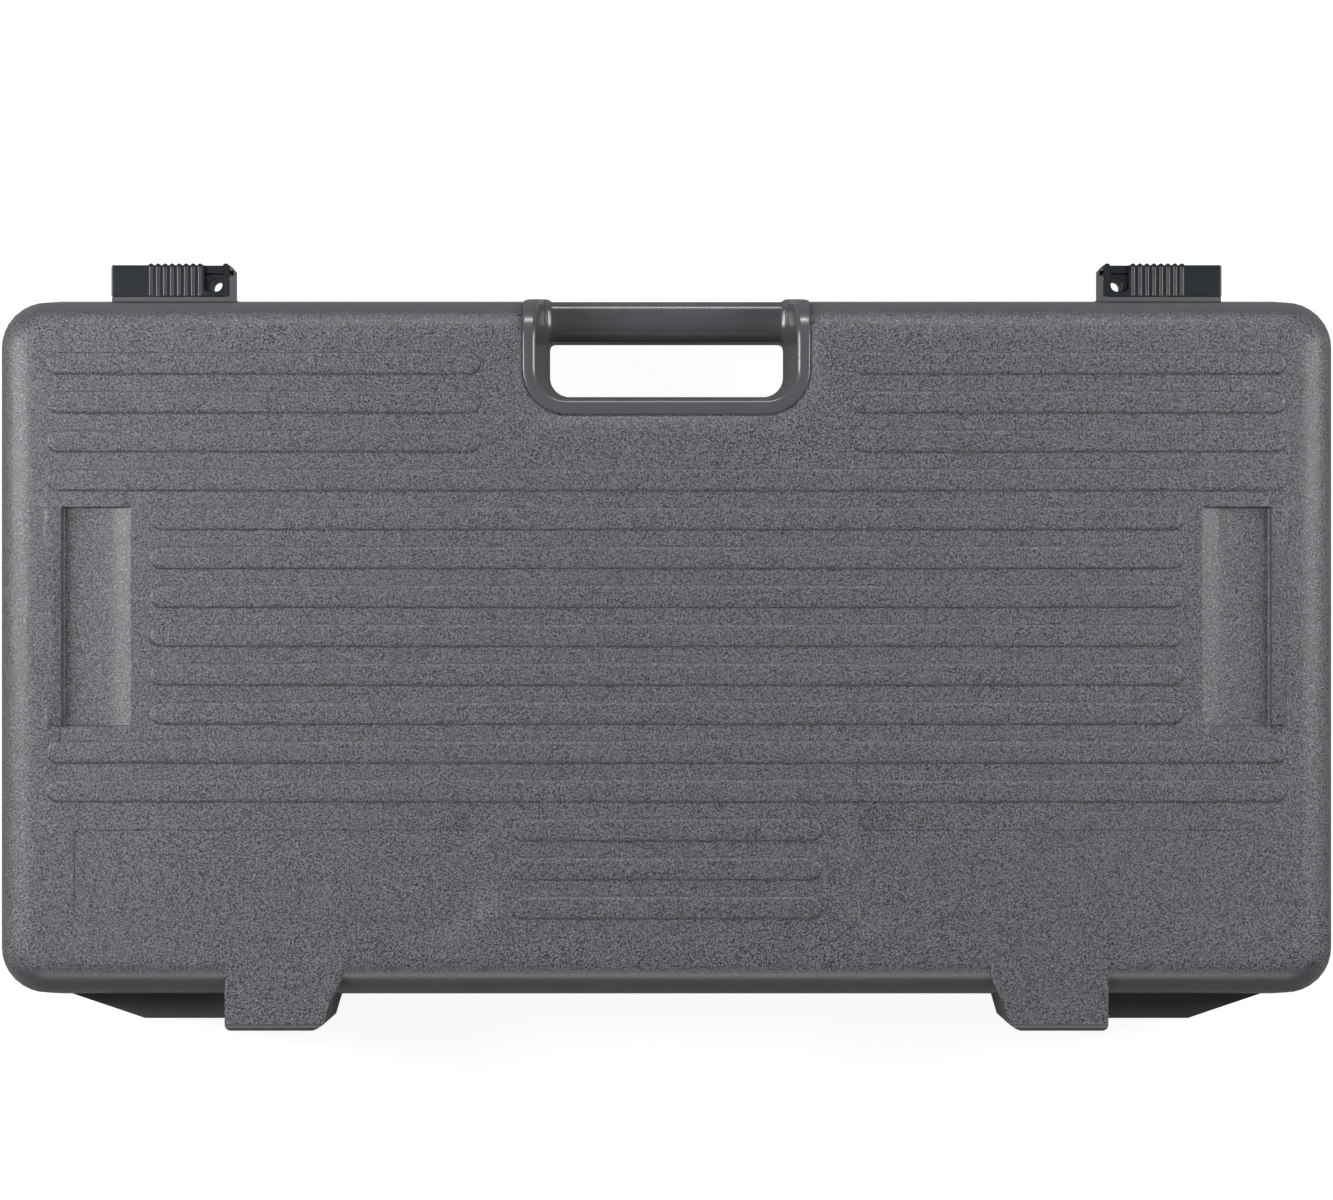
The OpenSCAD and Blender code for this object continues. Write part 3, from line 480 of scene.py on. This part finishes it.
def faceLines(half):
    # grid lines of a face: at its edges and cuts, and close together where the face has detail
    centre = edgeCentre(half)
    cutX, cutY = opening["halfW"] + opening["cut"], opening["rear"] + opening["cut"]
    xs, ys = [0, cutX, axisX], [-axisY - centre, -axisY, cutY, axisY]
    if half["dressed"]:
        near = np.array([0, 0.09, 0.175, 0.26, 0.35, 0.9, 1.6, 2.5])
        ends = np.array([0, 0.12, 0.3, 0.5, 0.7, 1.2])
        xs += list(panel["x0"] + near) + list(panel["x1"] - near)
        xs += list(pocketProfile()[:, 0]) + list(pocket["inner"] + np.array([-0.9, -0.25, 0.25]))
        ys += list(panel["y0"] + near) + list(panel["y1"] - near)
        ys += list(pocket["y0"] + ends) + list(pocket["y1"] - ends)
    quarters = np.array([0.25, 0.5, 0.75, 1])   # of the way from a corner's axis to the edge's arc
    x = linesBetween(np.unique(np.round(xs, 4)), gridStep)
    x = np.concatenate([x, axisX + centre * quarters])
    y = linesBetween(np.unique(np.round(ys, 4)), gridStep)
    y = np.concatenate([y, axisY + centre * quarters])
    y = np.concatenate([y[:1] + centre * (quarters - 0.25), y[y >= -axisY - 1e-6]])
    return np.concatenate([-x[:0:-1], x]), y


def shellSkin(half):
    # the outer skin: a face grid with its corners bent round, and the edge section carried round its border.
    # A point (u, v) of a square corner goes to (u sqrt(1 - v2/2), v sqrt(1 - u2/2)), which is a quarter disc.
    h, centre = half["height"], edgeCentre(half)
    cutX, cutY = opening["halfW"] + opening["cut"], opening["rear"] + opening["cut"]
    x, y = faceLines(half)
    gx, gy = np.meshgrid(x, y, indexing="ij")
    u = np.maximum(np.abs(gx) - axisX, 0) / centre
    v = np.maximum(np.abs(gy) - axisY, 0) / centre
    px = np.where(u > 0, np.sign(gx) * (axisX + centre * u * np.sqrt(1 - v * v / 2)), gx)
    py = np.where(v > 0, np.sign(gy) * (axisY + centre * v * np.sqrt(1 - u * u / 2)), gy)
    pz = np.full_like(px, h) + (faceHeight(px, py) if half["dressed"] else 0)
    points, quads = gridPart(np.stack([px, py, pz], -1))
    middle = points[quads].mean(1)
    face = points, quads[~((np.abs(middle[:, 0]) < cutX) & (middle[:, 1] < cutY))]

    rim = np.concatenate([
        np.stack([px[:-1, 0], py[:-1, 0]], -1), np.stack([px[-1, :-1], py[-1, :-1]], -1),
        np.stack([px[:0:-1, -1], py[:0:-1, -1]], -1), np.stack([px[0, :0:-1], py[0, :0:-1]], -1)])
    axis = np.clip(rim, [-axisX, -axisY], [axisX, axisY])
    out = (rim - axis) / centre
    section = shellSection(half)
    ring = np.concatenate([
        axis[:, None] + out[:, None] * section[None, :, :1],
        np.broadcast_to(section[None, :, 1:], (len(rim), len(section), 1))], -1)
    points, quads = gridPart(ring, closeU=True, flip=True)
    middle = points[quads].mean(1)
    wall = points, quads[~((np.abs(middle[:, 0]) < cutX) & (middle[:, 1] < -axisY))]
    return joinParts([face, wall])


def grainAt(points):
    # 1 where the mould is etched: the face and its upper edges. It fades out towards the front, the rear and the
    # parting line, and a share of it stays on the side walls
    x, y, z = points.T
    fadeRear = 1 - smoothStep((y - etch["rear"]) / etch["rearFade"])
    fadeFront = 1 - smoothStep((-y - etch["front"]) / etch["frontFade"])
    fadeSide = 1 - smoothStep((np.abs(x) - (edgeX - etch["side"])) / etch["sideFade"])
    fadeLow = smoothStep((z - etch["low"]) / etch["lowFade"])
    return fadeRear * fadeFront * np.maximum(fadeSide, etch["sideWalls"]) * fadeLow


rib = {
    "w": 11.2,
    "rows": 15,
    "first": -141.1,       # y of the first row
    "pitch": 19.31,
    "full": 307.8,         # how far from the middle a rib ends where nothing is in its way,
    "pocket": 256.7,       # beside the pockets
    "panel": 77.0,         # and beside the panels
    "handle": 92.3,        # where it starts beside the handle
    "handleRows": 3,       # the first rows
    "pocketRows": (4, 9),
    "panelRows": 12,       # from this row on
    "inset": [5.6, 0.0, 0.0, 0.08, 0.27, 0.58, 0.98, 1.42, 1.9, 3.6, 5.6],   # a rib's section, from its foot
    "level": [-0.5, -0.5, 0.0, 0.34, 0.62, 0.86, 1.05, 1.16, 1.2, 1.2, 1.2],
}


def ribPart(x0, x1, y, h):
    # a bar with round ends: its profile carried round a long outline, which closes to a line at the middle
    r = rib["w"] / 2
    a = np.radians(np.concatenate([np.linspace(-90, 90, 17), np.linspace(90, 270, 17)]))
    centre = np.repeat([x1 - r, x0 + r], 17)
    reach = r - np.array(rib["inset"])
    z = h + np.array(rib["level"])
    points = np.stack([
        centre[:, None] + np.cos(a)[:, None] * reach, y + np.sin(a)[:, None] * reach,
        np.broadcast_to(z, (len(a), len(z)))], -1)
    return gridPart(points, closeU=True)


def ribRows(half):
    # the rows of ribs and where they end beside the handle, the pockets and the panels
    parts = []
    for row in range(rib["rows"]):
        if row < rib["handleRows"]:
            reach = rib["full"] if half["dressed"] else rib["pocket"]
            spans = [(-reach, -rib["handle"]), (rib["handle"], reach)]
        elif not half["dressed"] or rib["pocketRows"][0] <= row <= rib["pocketRows"][1]:
            spans = [(-rib["pocket"], rib["pocket"])]
        elif row >= rib["panelRows"]:
            spans = [(-rib["panel"], rib["panel"])]
        else:
            spans = [(-rib["full"], rib["full"])]
        y = rib["first"] + row * rib["pitch"]
        parts += [ribPart(x0, x1, y, half["height"]) for x0, x1 in spans]
    return joinParts(parts)


def rimPart(half):
    # the raised rim of the hand opening and the wall inside it, as a profile carried along half of the U:
    # up the front wall, over the edge, along the face, round the corner and across to the middle
    h, o, centre = half["height"], opening, edgeCentre(half)
    r, slope = case["edgeR"], case["draft"]
    cornerY, cornerX = o["rear"] - o["r"], o["halfW"] - o["r"]
    a = np.linspace(slope, math.pi / 2, 17)
    z = np.array([0.0, 4.0, 12.0, 20.0, 28.0, 36.0])
    n = len(z) + len(a)
    legY = -axisY - np.concatenate([case["cornerR"] - z * math.tan(slope), centre + r * np.cos(a)])
    legZ = np.concatenate([z, h - r + r * np.sin(a)])
    lean = np.concatenate([np.full(len(z), slope), a])
    turn = np.radians(np.linspace(0, 90, 15))
    run = np.linspace(legY[-1], cornerY, 5)[1:-1]
    rear = np.linspace(cornerX, 0, 6)[1:]
    sides, m, k = n + len(run), len(turn), len(rear)
    lean = np.concatenate([lean, np.full(len(run) + m + k, math.pi / 2)])
    outline = np.stack([
        np.concatenate([np.full(sides, o["halfW"]), cornerX + o["r"] * np.cos(turn), rear]),
        np.concatenate([legY, run, cornerY + o["r"] * np.sin(turn), np.full(k, o["rear"])]),
        np.concatenate([legZ, np.full(len(run) + m + k, h)])], -1)
    across = np.zeros_like(outline)
    across[:, 0] = np.concatenate([np.ones(sides), np.cos(turn), np.zeros(k)])
    across[:, 1] = np.concatenate([np.zeros(sides), np.sin(turn), np.ones(k)])
    up = np.stack([np.zeros_like(lean), -np.cos(lean), np.sin(lean)], -1)
    wide = o["rimSide"] + (o["rimRear"] - o["rimSide"]) * across[:, 1] ** 2
    inner = outline[:, 2] * o["slope"]
    e, q, top = o["rimEdge"], o["innerEdge"], o["rimH"]
    b = np.radians(np.linspace(0, 90, 6))
    outD = np.stack([wide, wide] + [wide - e * o["rimRun"] * (1 - np.cos(t)) for t in b[1:]], 1)
    inD = np.stack([inner + q * (1 - math.sin(t)) for t in b], 1)
    d = np.concatenate([outD, (outD[:, -1:] + inD[:, :1]) / 2, inD], 1)[..., None]
    t = [-o["rimSink"], top - e] + [top - e + e * math.sin(t) for t in b[1:]] + [top + 0.1]
    t = np.array(t + [top - q * (1 - math.cos(t)) for t in b])[None, :, None]
    crown = outline[:, None] + across[:, None] * d + up[:, None] * t
    crown[..., 2] = np.maximum(crown[..., 2], 0)
    foot = crown[:, -1:].copy()
    foot[..., :2] -= across[:, None, :2] * foot[..., 2:] * o["slope"]
    foot[..., 2] = 0
    wall = crown[:, -1:] + (foot - crown[:, -1:]) * np.linspace(0, 1, 7)[1:][None, :, None]
    return bothSides(gridPart(np.concatenate([crown, wall], 1)))


grip = {
    "front": -176.0,
    "rear": -155.8,
    "h": 18.0,             # of each shell's half
    "frontR": 5.5,
    "rearR": 8.5,
    "flareRun": 3.6,       # the flare at its ends: its length,
    "flareTop": 3.6,       # its height at the top and the rear
    "flareFront": 1.8,     # and at the front
    "wall": 3.0,
}


def gripPart(half):
    # half of the grip: a channel section carried across the opening, flaring out where it meets the walls
    g = grip
    a = np.radians(np.linspace(0, 90, 9))
    r, q, b, run = g["frontR"], g["rearR"], a[::-1], g["flareRun"]
    front = np.stack([g["front"] + r * (1 - np.cos(a)), g["h"] - r + r * np.sin(a)], -1)
    rear = np.stack([g["rear"] - q * (1 - np.cos(b)), g["h"] - q + q * np.sin(b)], -1)
    up, down = np.linspace(0, g["h"] - r, 5)[:-1], np.linspace(g["h"] - q, 0, 5)[1:]
    outer = np.vstack([
        np.stack([np.full(4, g["front"]), up], -1), front, rear, np.stack([np.full(4, g["rear"]), down], -1)])
    normal = np.vstack([
        np.tile([-1.0, 0], (4, 1)), np.stack([-np.cos(a), np.sin(a)], -1),
        np.stack([np.cos(b), np.sin(b)], -1), np.tile([1.0, 0], (4, 1))])
    inner = np.maximum(outer - normal * g["wall"], [-1e9, 0])
    # the flare is a quarter circle: full at the opening's wall, and gone where the gap to the wall is its length
    gap = np.array([-1.0, 0.0, 0.15, 0.4, 0.8, 1.3, 1.9, 2.7, run, 8.0, 20.0, 40.0])
    flare = np.where(gap < run, run - np.sqrt(np.maximum(run ** 2 - (run - np.maximum(gap, 0)) ** 2, 0)), 0) / run
    atFront = g["flareFront"] + (g["flareTop"] - g["flareFront"]) * np.abs(normal[:, 1])
    size = np.where(normal[:, 0] < 0, atFront, g["flareTop"])
    swelled = outer[None] + normal[None] * (flare[:, None] * size[None])[..., None]
    loop = np.concatenate([swelled, np.broadcast_to(inner[::-1], (len(gap),) + inner.shape)], 1)
    front = opening["rimH"] * 0.9 + edgeY - loop[..., 1] * math.tan(case["draft"])
    loop[..., 0] = np.maximum(loop[..., 0], -front)
    x = opening["halfW"] + loop[..., 1] * opening["slope"] - gap[:, None]
    x = np.concatenate([x, np.zeros((1, loop.shape[1]))])
    loop = np.concatenate([loop, loop[-1:]])
    points = np.concatenate([x[..., None], loop], -1)
    tube = gridPart(points, closeV=True)
    n = len(outer)
    cap = np.stack([points[0, :n], points[0, :n - 1:-1]], 1)
    return bothSides(joinParts([tube, gridPart(cap, flip=True)]))


def makeShell(half):
    # skin and ribs with grain, rim and grip polished
    side, body = half["side"], half["body"]
    points, quads = shellSkin(half)
    skin = meshObject(body + "Skin", (points, quads), grain=grainAt(points), side=side, closed=False)
    addSolidify(skin, case["wall"])
    rows = meshObject(body + "Ribs", ribRows(half), grain=1.0, side=side)
    rim = meshObject(body + "HandRim", rimPart(half), grain=-1.0, side=side, closed=False)
    addSolidify(rim, case["wall"], even=False)
    handle = meshObject(body + "Grip", gripPart(half), grain=-1.0, side=side)
    for obj in (skin, rows, rim, handle):
        dress(obj, body, [half["node"]], shellAbs)


makeShell(lid)
makeShell(base)
print("shells made")


# Fittings copied from the CAD shells, cut out by boxes and given round edges.

def cutAway(edit, at, way):
    # clears what lies beyond a plane and closes the cut
    geom = edit.verts[:] + edit.edges[:] + edit.faces[:]
    cut = bmesh.ops.bisect_plane(edit, geom=geom, dist=1e-7, plane_co=at, plane_no=way, clear_outer=True)
    edges = [g for g in cut["geom_cut"] if isinstance(g, bmesh.types.BMEdge)]
    if edges:
        bmesh.ops.triangle_fill(edit, edges=edges, use_dissolve=True)


def cornerPlanes(at, r, first, second, degrees):
    # planes round the corner between two directions, tangent to a circle of radius r inside it that is centred on at
    turns = np.radians(degrees)[:, None]
    ways = np.cos(turns) * np.array(first) + np.sin(turns) * np.array(second)
    return [(np.array(at) + r * way, way) for way in ways]


def cutPiece(name, node, boxes, edge, grain, planes=(), shape=None, crease=30):
    # what lies inside each box of a merged copy of the node's mesh, the cuts closed, as one piece.
    # planes cut its corners, shape moves its points, edge is its edges' rounding and crease its sharp edges' angle
    whole = bmesh.new()
    for low, high in boxes:
        edit = bmesh.new()
        edit.from_mesh(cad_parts[node].data)
        bmesh.ops.remove_doubles(edit, verts=edit.verts, dist=weldGap)
        for axis in range(3):
            for corner, sign in ((low, -1), (high, 1)):
                way = Vector([sign if i == axis else 0 for i in range(3)])
                cutAway(edit, Vector(corner) * mm, way)
        hand = 1 if low[0] > 0 else -1
        for at, way in planes:
            cutAway(edit, Vector(at * [hand, 1, 1]) * mm, Vector(way * [hand, 1, 1]))
        bmesh.ops.dissolve_limit(edit, angle_limit=flatTurn, verts=edit.verts, edges=edit.edges)
        held = bpy.data.meshes.new(name)
        edit.to_mesh(held)
        edit.free()
        whole.from_mesh(held)
        bpy.data.meshes.remove(held)
    mesh = bpy.data.meshes.new(name)
    bmesh.ops.recalc_face_normals(whole, faces=whole.faces)
    whole.to_mesh(mesh)
    whole.free()
    place = np.zeros(len(mesh.vertices) * 3)
    mesh.vertices.foreach_get("co", place)
    if shape:
        place = (shape(place.reshape(-1, 3) / mm) * mm).ravel()
        mesh.vertices.foreach_set("co", place)
    layer = mesh.attributes.new("grain", "FLOAT", "POINT")
    layer.data.foreach_set("value", grain(place.reshape(-1, 3) / mm).astype(np.float32))
    mesh.shade_smooth()
    mesh.set_sharp_from_angle(angle=math.radians(crease))
    obj = placeObject(name, mesh)
    if edge:
        addBevel(obj, edge)
    even = obj.modifiers.new("normals", "WEIGHTED_NORMAL")
    even.keep_sharp = True
    return obj


def bothBoxes(box):
    # a box, given for +X, and its mirror image
    low, high = box
    return [box, ((-high[0], *low[1:]), (-low[0], *high[1:]))]


# The hinge tabs, in the frame's coordinates, with round corners at their tips.
tab = {
    "box": ((160.9, 157.45, 65.0), (219.6, 194.0, 131.9)),
    "outer": 219.4,
    "tip": 193.2,
    "r": 3.2,
    "innerX": 177.3,       # centre of the inner corner's rounding
    "innerR": 5.0,
    "top": 131.8,
    "lean": 1.3,           # of the inner side, at the parting line
    "leanEnd": 178.0,      # what lies further out isn't moved
    "leanFade": 4.0,
    "grainEnd": 189.2,     # the tip has no grain
    "edge": 0.9,
}


def tabGrain(p):
    # etched like the face, up to a line before the tip
    return 1 - smoothStep((p[:, 1] - tab["grainEnd"]) / 1.0)


def noGrain(p):
    return np.zeros(len(p))


def tabLean(p):
    # moves the tab's inner side towards the case's middle: not at all at the face, by the lean at the parting line
    x, y, z = p.T
    out = tab["lean"] * (tab["top"] - z) / (tab["top"] - case["partingZ"])
    near = smoothStep((tab["leanEnd"] - np.abs(x)) / tab["leanFade"])
    return np.stack([x - np.sign(x) * np.maximum(out, 0) * near, y, z], -1)


tabPlanes = cornerPlanes(
    (tab["outer"] - tab["r"], tab["tip"] - tab["r"], 0), tab["r"], (1, 0, 0), (0, 1, 0), [15, 30, 45, 60, 75])
tabPlanes += cornerPlanes(
    (tab["innerX"], tab["tip"] - tab["innerR"], 0), tab["innerR"], (1, 0, 0), (0, 1, 0), [98, 106, 114])
tabs = cutPiece("lidHingeTabs", "lid_shell", bothBoxes(tab["box"]), tab["edge"], tabGrain, tabPlanes, tabLean)
dress(tabs, "lid", ["lid_shell"], shellAbs)

# The smooth fittings: body, rounding of the edges, and the box on the +X side.
fittings = {
    "lidLatchPads": ("lid", 0.5, ((218.5, -193.0, 72.0), (283.0, -173.6, 86.6))),
    "baseLatchPads": ("base", 0.5, ((218.5, -193.0, 57.4), (283.0, -173.6, 72.0))),
    "baseWedgeFeet": ("base", 0.8, ((220.7, 176.0, 3.9), (306.0, 194.0, 72.0))),
    "baseKnuckles": ("base", 0.3, ((187.0, 178.0, 65.0), (207.0, 194.0, 78.2))),
}
for name, (body, edge, box) in fittings.items():
    piece = cutPiece(name, body + "_shell", bothBoxes(box), edge, noGrain)
    dress(piece, body, [body + "_shell"], shellAbs)

# The sliders, with round corners at their outer ends and a small chamfer along their front edges.
slider = {
    "box": ((215.0, -200.0, 50.0), (300.0, -160.0, 95.0)),
    "end": 282.7,
    "front": 192.2,
    "top": 86.0,
    "low": 58.0,
    "r": 1.3,
    "chamfer": 0.45,
    "crease": 8,           # degrees, so that each side of a grip rib is shaded by itself
}


def sliderPlanes():
    # round the outer end's upper, lower and front corners, and a chamfer at 45 degrees along both front edges
    s = slider
    end, front = s["end"] - s["r"], -s["front"] + s["r"]
    top, low, degrees = s["top"] - s["r"], s["low"] + s["r"], [15, 35, 55, 75]
    planes = cornerPlanes((end, 0, top), s["r"], (1, 0, 0), (0, 0, 1), degrees)
    planes += cornerPlanes((end, 0, low), s["r"], (1, 0, 0), (0, 0, -1), degrees)
    planes += cornerPlanes((end, front, 0), s["r"], (1, 0, 0), (0, -1, 0), degrees)
    for up, edge in ((1, s["top"]), (-1, s["low"])):
        way = np.array([0, -1, up]) / math.sqrt(2)
        planes.append((np.array([0, -s["front"], edge]) - way * s["chamfer"], way))
    return planes


rightBox, leftBox = bothBoxes(slider["box"])
for hand, box in (("Left", leftBox), ("Right", rightBox)):
    node = "latch_slider_" + hand.lower()
    piece = cutPiece("latchSlider" + hand, node, [box], 0, noGrain, sliderPlanes(), crease=slider["crease"])
    dress(piece, "slider_" + hand.lower(), [node], latchAcetal)
print("fittings made")


# CAD nodes that keep their shape.

def finishNode(name, material, edge):
    # modifiers on the CAD mesh, which stays as it is: a weld, one face for each flat, and a small rounding
    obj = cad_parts[name]
    obj.data.materials.clear()
    obj.data.materials.append(material)
    weld = obj.modifiers.new("weld", "WELD")
    weld.merge_threshold = weldGap
    flat = obj.modifiers.new("flat", "DECIMATE")
    flat.decimate_type = "DISSOLVE"
    flat.angle_limit = flatTurn
    addBevel(obj, edge, segments=2)


for hand in ("left", "right"):
    finishNode("lid_keeper_" + hand, latchAcetal, 0.3)
    finishNode("base_keeper_" + hand, latchAcetal, 0.3)
    finishNode("latch_spring_" + hand, platedSteel, 0.05)
    finishNode("hinge_pin_" + hand, platedSteel, 0.3)
for name in ("base_keeper_screws", "lid_keeper_screws", "foot_screws"):
    finishNode(name, platedSteel, 0.15)
finishNode("rubber_feet", footRubber, 0.5)
print("nodes finished")


# Foam blocks, cut from slab: their edges have softened and their faces are a little uneven. They are stiff blocks
# and not stuffed cloth, so their points are moved by formulas instead of a cloth simulation.
foamPad = {
    "fill": 0.9,
    "voxel": 4.0,
    "soften": 5,           # rounds of smoothing, which round the edges over about a voxel
    "shrink": 0.35,        # the faces start this far inside the CAD solid
    "wave": 0.3,           # height of the uneven places
    "waveLength": 55.0,
    "crateStep": 25.0,     # from one egg-crate bump of the lid's pad to the next
    "crateDepth": 9.0,
    "crateMargin": 14.0,   # border round the bumps, in whose inner half they rise
}


def softCopy(name, node):
    # a merged copy of the node's mesh, remeshed in voxels and smoothed, as a new mesh without modifiers
    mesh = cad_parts[node].data.copy()
    edit = bmesh.new()
    edit.from_mesh(mesh)
    bmesh.ops.remove_doubles(edit, verts=edit.verts, dist=weldGap)
    edit.to_mesh(mesh)
    edit.free()
    rough = placeObject(name + "Rough", mesh)
    cells = rough.modifiers.new("cells", "REMESH")
    cells.mode, cells.voxel_size = "VOXEL", foamPad["voxel"] * mm
    smooth = rough.modifiers.new("soften", "SMOOTH")
    smooth.factor, smooth.iterations = 0.5, foamPad["soften"]
    graph = bpy.context.evaluated_depsgraph_get()
    made = bpy.data.meshes.new_from_object(rough.evaluated_get(graph))
    bpy.data.objects.remove(rough)
    bpy.data.meshes.remove(mesh)
    made.name = name
    return placeObject(name, made)


def crateDrop(x, y, low, high):
    # depth of the egg-crate pattern: the product of two cosines, level in a border along the pad's sides
    f, turn = foamPad, 2 * math.pi / foamPad["crateStep"]
    wave = 0.5 - 0.5 * np.cos(turn * x) * np.cos(turn * y)
    edge = np.minimum(np.minimum(x - low[0], high[0] - x), np.minimum(y - low[1], high[1] - y))
    border = f["crateMargin"] * 0.5
    return f["crateDepth"] * wave * smoothStep((edge - border) / border)


def makeFoamPiece(name, node, body):
    # every point moves inwards by the shrink and by crossed sine waves; the lid's pad gets its bumps underneath
    obj = softCopy(name, node)
    mesh, count = obj.data, len(obj.data.vertices)
    place, normal = np.zeros(count * 3), np.zeros(count * 3)
    mesh.vertices.foreach_get("co", place)
    mesh.vertices.foreach_get("normal", normal)
    place, normal = place.reshape(-1, 3) / mm, normal.reshape(-1, 3)
    f, k = foamPad, 2 * math.pi / foamPad["waveLength"]
    x, y, z = place.T
    uneven = np.sin(k * x + 0.9 * np.sin(k * 0.7 * y)) * np.sin(k * 1.3 * y + 0.6 * np.sin(k * z))
    uneven += np.sin(k * 2.1 * (x + z))
    place -= normal * (f["shrink"] + f["wave"] * (1 + 0.5 * uneven))[:, None]
    if body == "lid":
        low, high = [np.array(c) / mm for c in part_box(node)]
        facing = smoothStep((-normal[:, 2] - 0.5) / 0.4) * (z < low[2] + 4)
        place[:, 2] += facing * crateDrop(x, y, low, high)
    mesh.vertices.foreach_set("co", (place * mm).astype(np.float32).ravel())
    mesh.update()
    mesh.shade_smooth()
    dress(obj, body, [node], polyFoam)


for hand in ("Left", "Middle", "Right"):
    makeFoamPiece("baseFoam" + hand, "base_foam_" + hand.lower(), "base")
makeFoamPiece("lidFoamPad", "lid_foam_pad", "lid")
print("foam made")


# Floor, light and camera.

studio = {
    "camera": 1820.0,      # over the lid's face, mm
    "scale": 0.4965,       # millimetres on the lid's face that one of the picture's 1333 pixels covers
    "low": 47.5,           # pixels from the picture's middle down to the case's middle
    "floor": "#8C8C8C",
    "floorHalf": 9.0,      # m
    "floorGlow": 0.9,      # 1 is white
    "mirrored": 0.03,      # share of the white backdrop that reflections see, so that it doesn't veil dark plastic
    "sky": 0.04,           # light from all around on the object
}
softboxes = {              # metres and watts
    "softboxLeft": {"place": (1.22, -0.2, 0.92), "target": (0.25, 0, 0.1), "size": (0.24, 1.4), "watts": 17.55},
    "softboxRight": {"place": (-1.22, -0.25, 0.92), "target": (-0.25, 0, 0.1), "size": (0.24, 1.3), "watts": 12.35},
    "softboxFront": {"place": (0, -2.05, 1.5), "target": (0, -0.1, 0.1), "size": (1.5, 0.18), "watts": 22.5},
    "softboxRear": {"place": (0, 1.8, 1.2), "target": (0, 0.1, 0.1), "size": (1.5, 0.5), "watts": 7.0},
}


def backdropLevel(tree):
    # 1 for what the camera sees directly, a share of it for reflections and glass, 0 for the light on the object
    path = addNode(tree, "ShaderNodeLightPath")
    bent = addNode(tree, "ShaderNodeMath", {
        0: path.outputs["Is Glossy Ray"], 1: path.outputs["Is Transmission Ray"]}, operation="MAXIMUM")
    bent = addNode(tree, "ShaderNodeMath", {0: bent.outputs[0], 1: studio["mirrored"]}, operation="MULTIPLY")
    seen = addNode(tree, "ShaderNodeMath", {
        0: path.outputs["Is Camera Ray"], 1: bent.outputs[0]}, operation="MAXIMUM")
    return seen.outputs[0]


def makeFloor():
    # its white is a glow for the camera over a grey that takes the object's shadow
    mesh, f = bpy.data.meshes.new("floor"), studio["floorHalf"]
    mesh.from_pydata([(-f, -f, 0), (f, -f, 0), (f, f, 0), (-f, f, 0)], [], [(0, 1, 2, 3)])
    obj = placeObject("floor", mesh)
    material = bpy.data.materials.new("pale studio floor")
    material.use_nodes = True
    tree = material.node_tree
    tree.nodes.clear()
    glow = addNode(tree, "ShaderNodeMath", {0: backdropLevel(tree), 1: studio["floorGlow"]}, operation="MULTIPLY")
    matt = addNode(tree, "ShaderNodeBsdfDiffuse", {"Color": srgb(studio["floor"])})
    bright = addNode(tree, "ShaderNodeEmission", {"Color": (1, 1, 1, 1), "Strength": glow.outputs[0]})
    both = addNode(tree, "ShaderNodeAddShader", {0: matt.outputs[0], 1: bright.outputs[0]})
    addNode(tree, "ShaderNodeOutputMaterial", {"Surface": both.outputs[0]})
    obj.data.materials.append(material)


def makeSky():
    world = bpy.data.worlds.new("plain studio")
    bpy.context.scene.world = world
    world.use_nodes = True
    tree = world.node_tree
    tree.nodes.clear()
    level = addNode(tree, "ShaderNodeMath", {0: backdropLevel(tree), 1: studio["sky"]}, operation="MAXIMUM")
    back = addNode(tree, "ShaderNodeBackground", {"Color": (1, 1, 1, 1), "Strength": level.outputs[0]})
    addNode(tree, "ShaderNodeOutputWorld", {"Surface": back.outputs[0]})


def addSoftbox(name, box):
    light = bpy.data.lights.new(name, "AREA")
    light.shape = "RECTANGLE"
    light.size, light.size_y = box["size"]
    light.energy = box["watts"]
    obj = placeObject(name, light)
    obj.location = box["place"]
    obj.rotation_euler = (Vector(box["target"]) - Vector(box["place"])).to_track_quat("-Z", "Y").to_euler()
    obj.visible_camera = False


def makeCamera():
    # straight down over the middle of the case, with the handle at the top of the picture
    pixels = (1333, 1200)
    data = bpy.data.cameras.new("camera")
    data.sensor_width = 36.0
    data.lens = data.sensor_width * studio["camera"] / (pixels[0] * studio["scale"])
    data.shift_y = studio["low"] / pixels[0]
    data.clip_start, data.clip_end = 0.05, 30.0
    obj = placeObject("camera", data)
    obj.location = (0, case["shiftY"] * mm, (case["partingZ"] + case["lidH"] + studio["camera"]) * mm)
    obj.rotation_euler = (0, 0, math.pi)
    bpy.context.scene.camera = obj


makeFloor()
makeSky()
for name, box in softboxes.items():
    addSoftbox(name, box)
makeCamera()
bpy.context.scene.view_settings.view_transform = "Standard"
print("studio made")
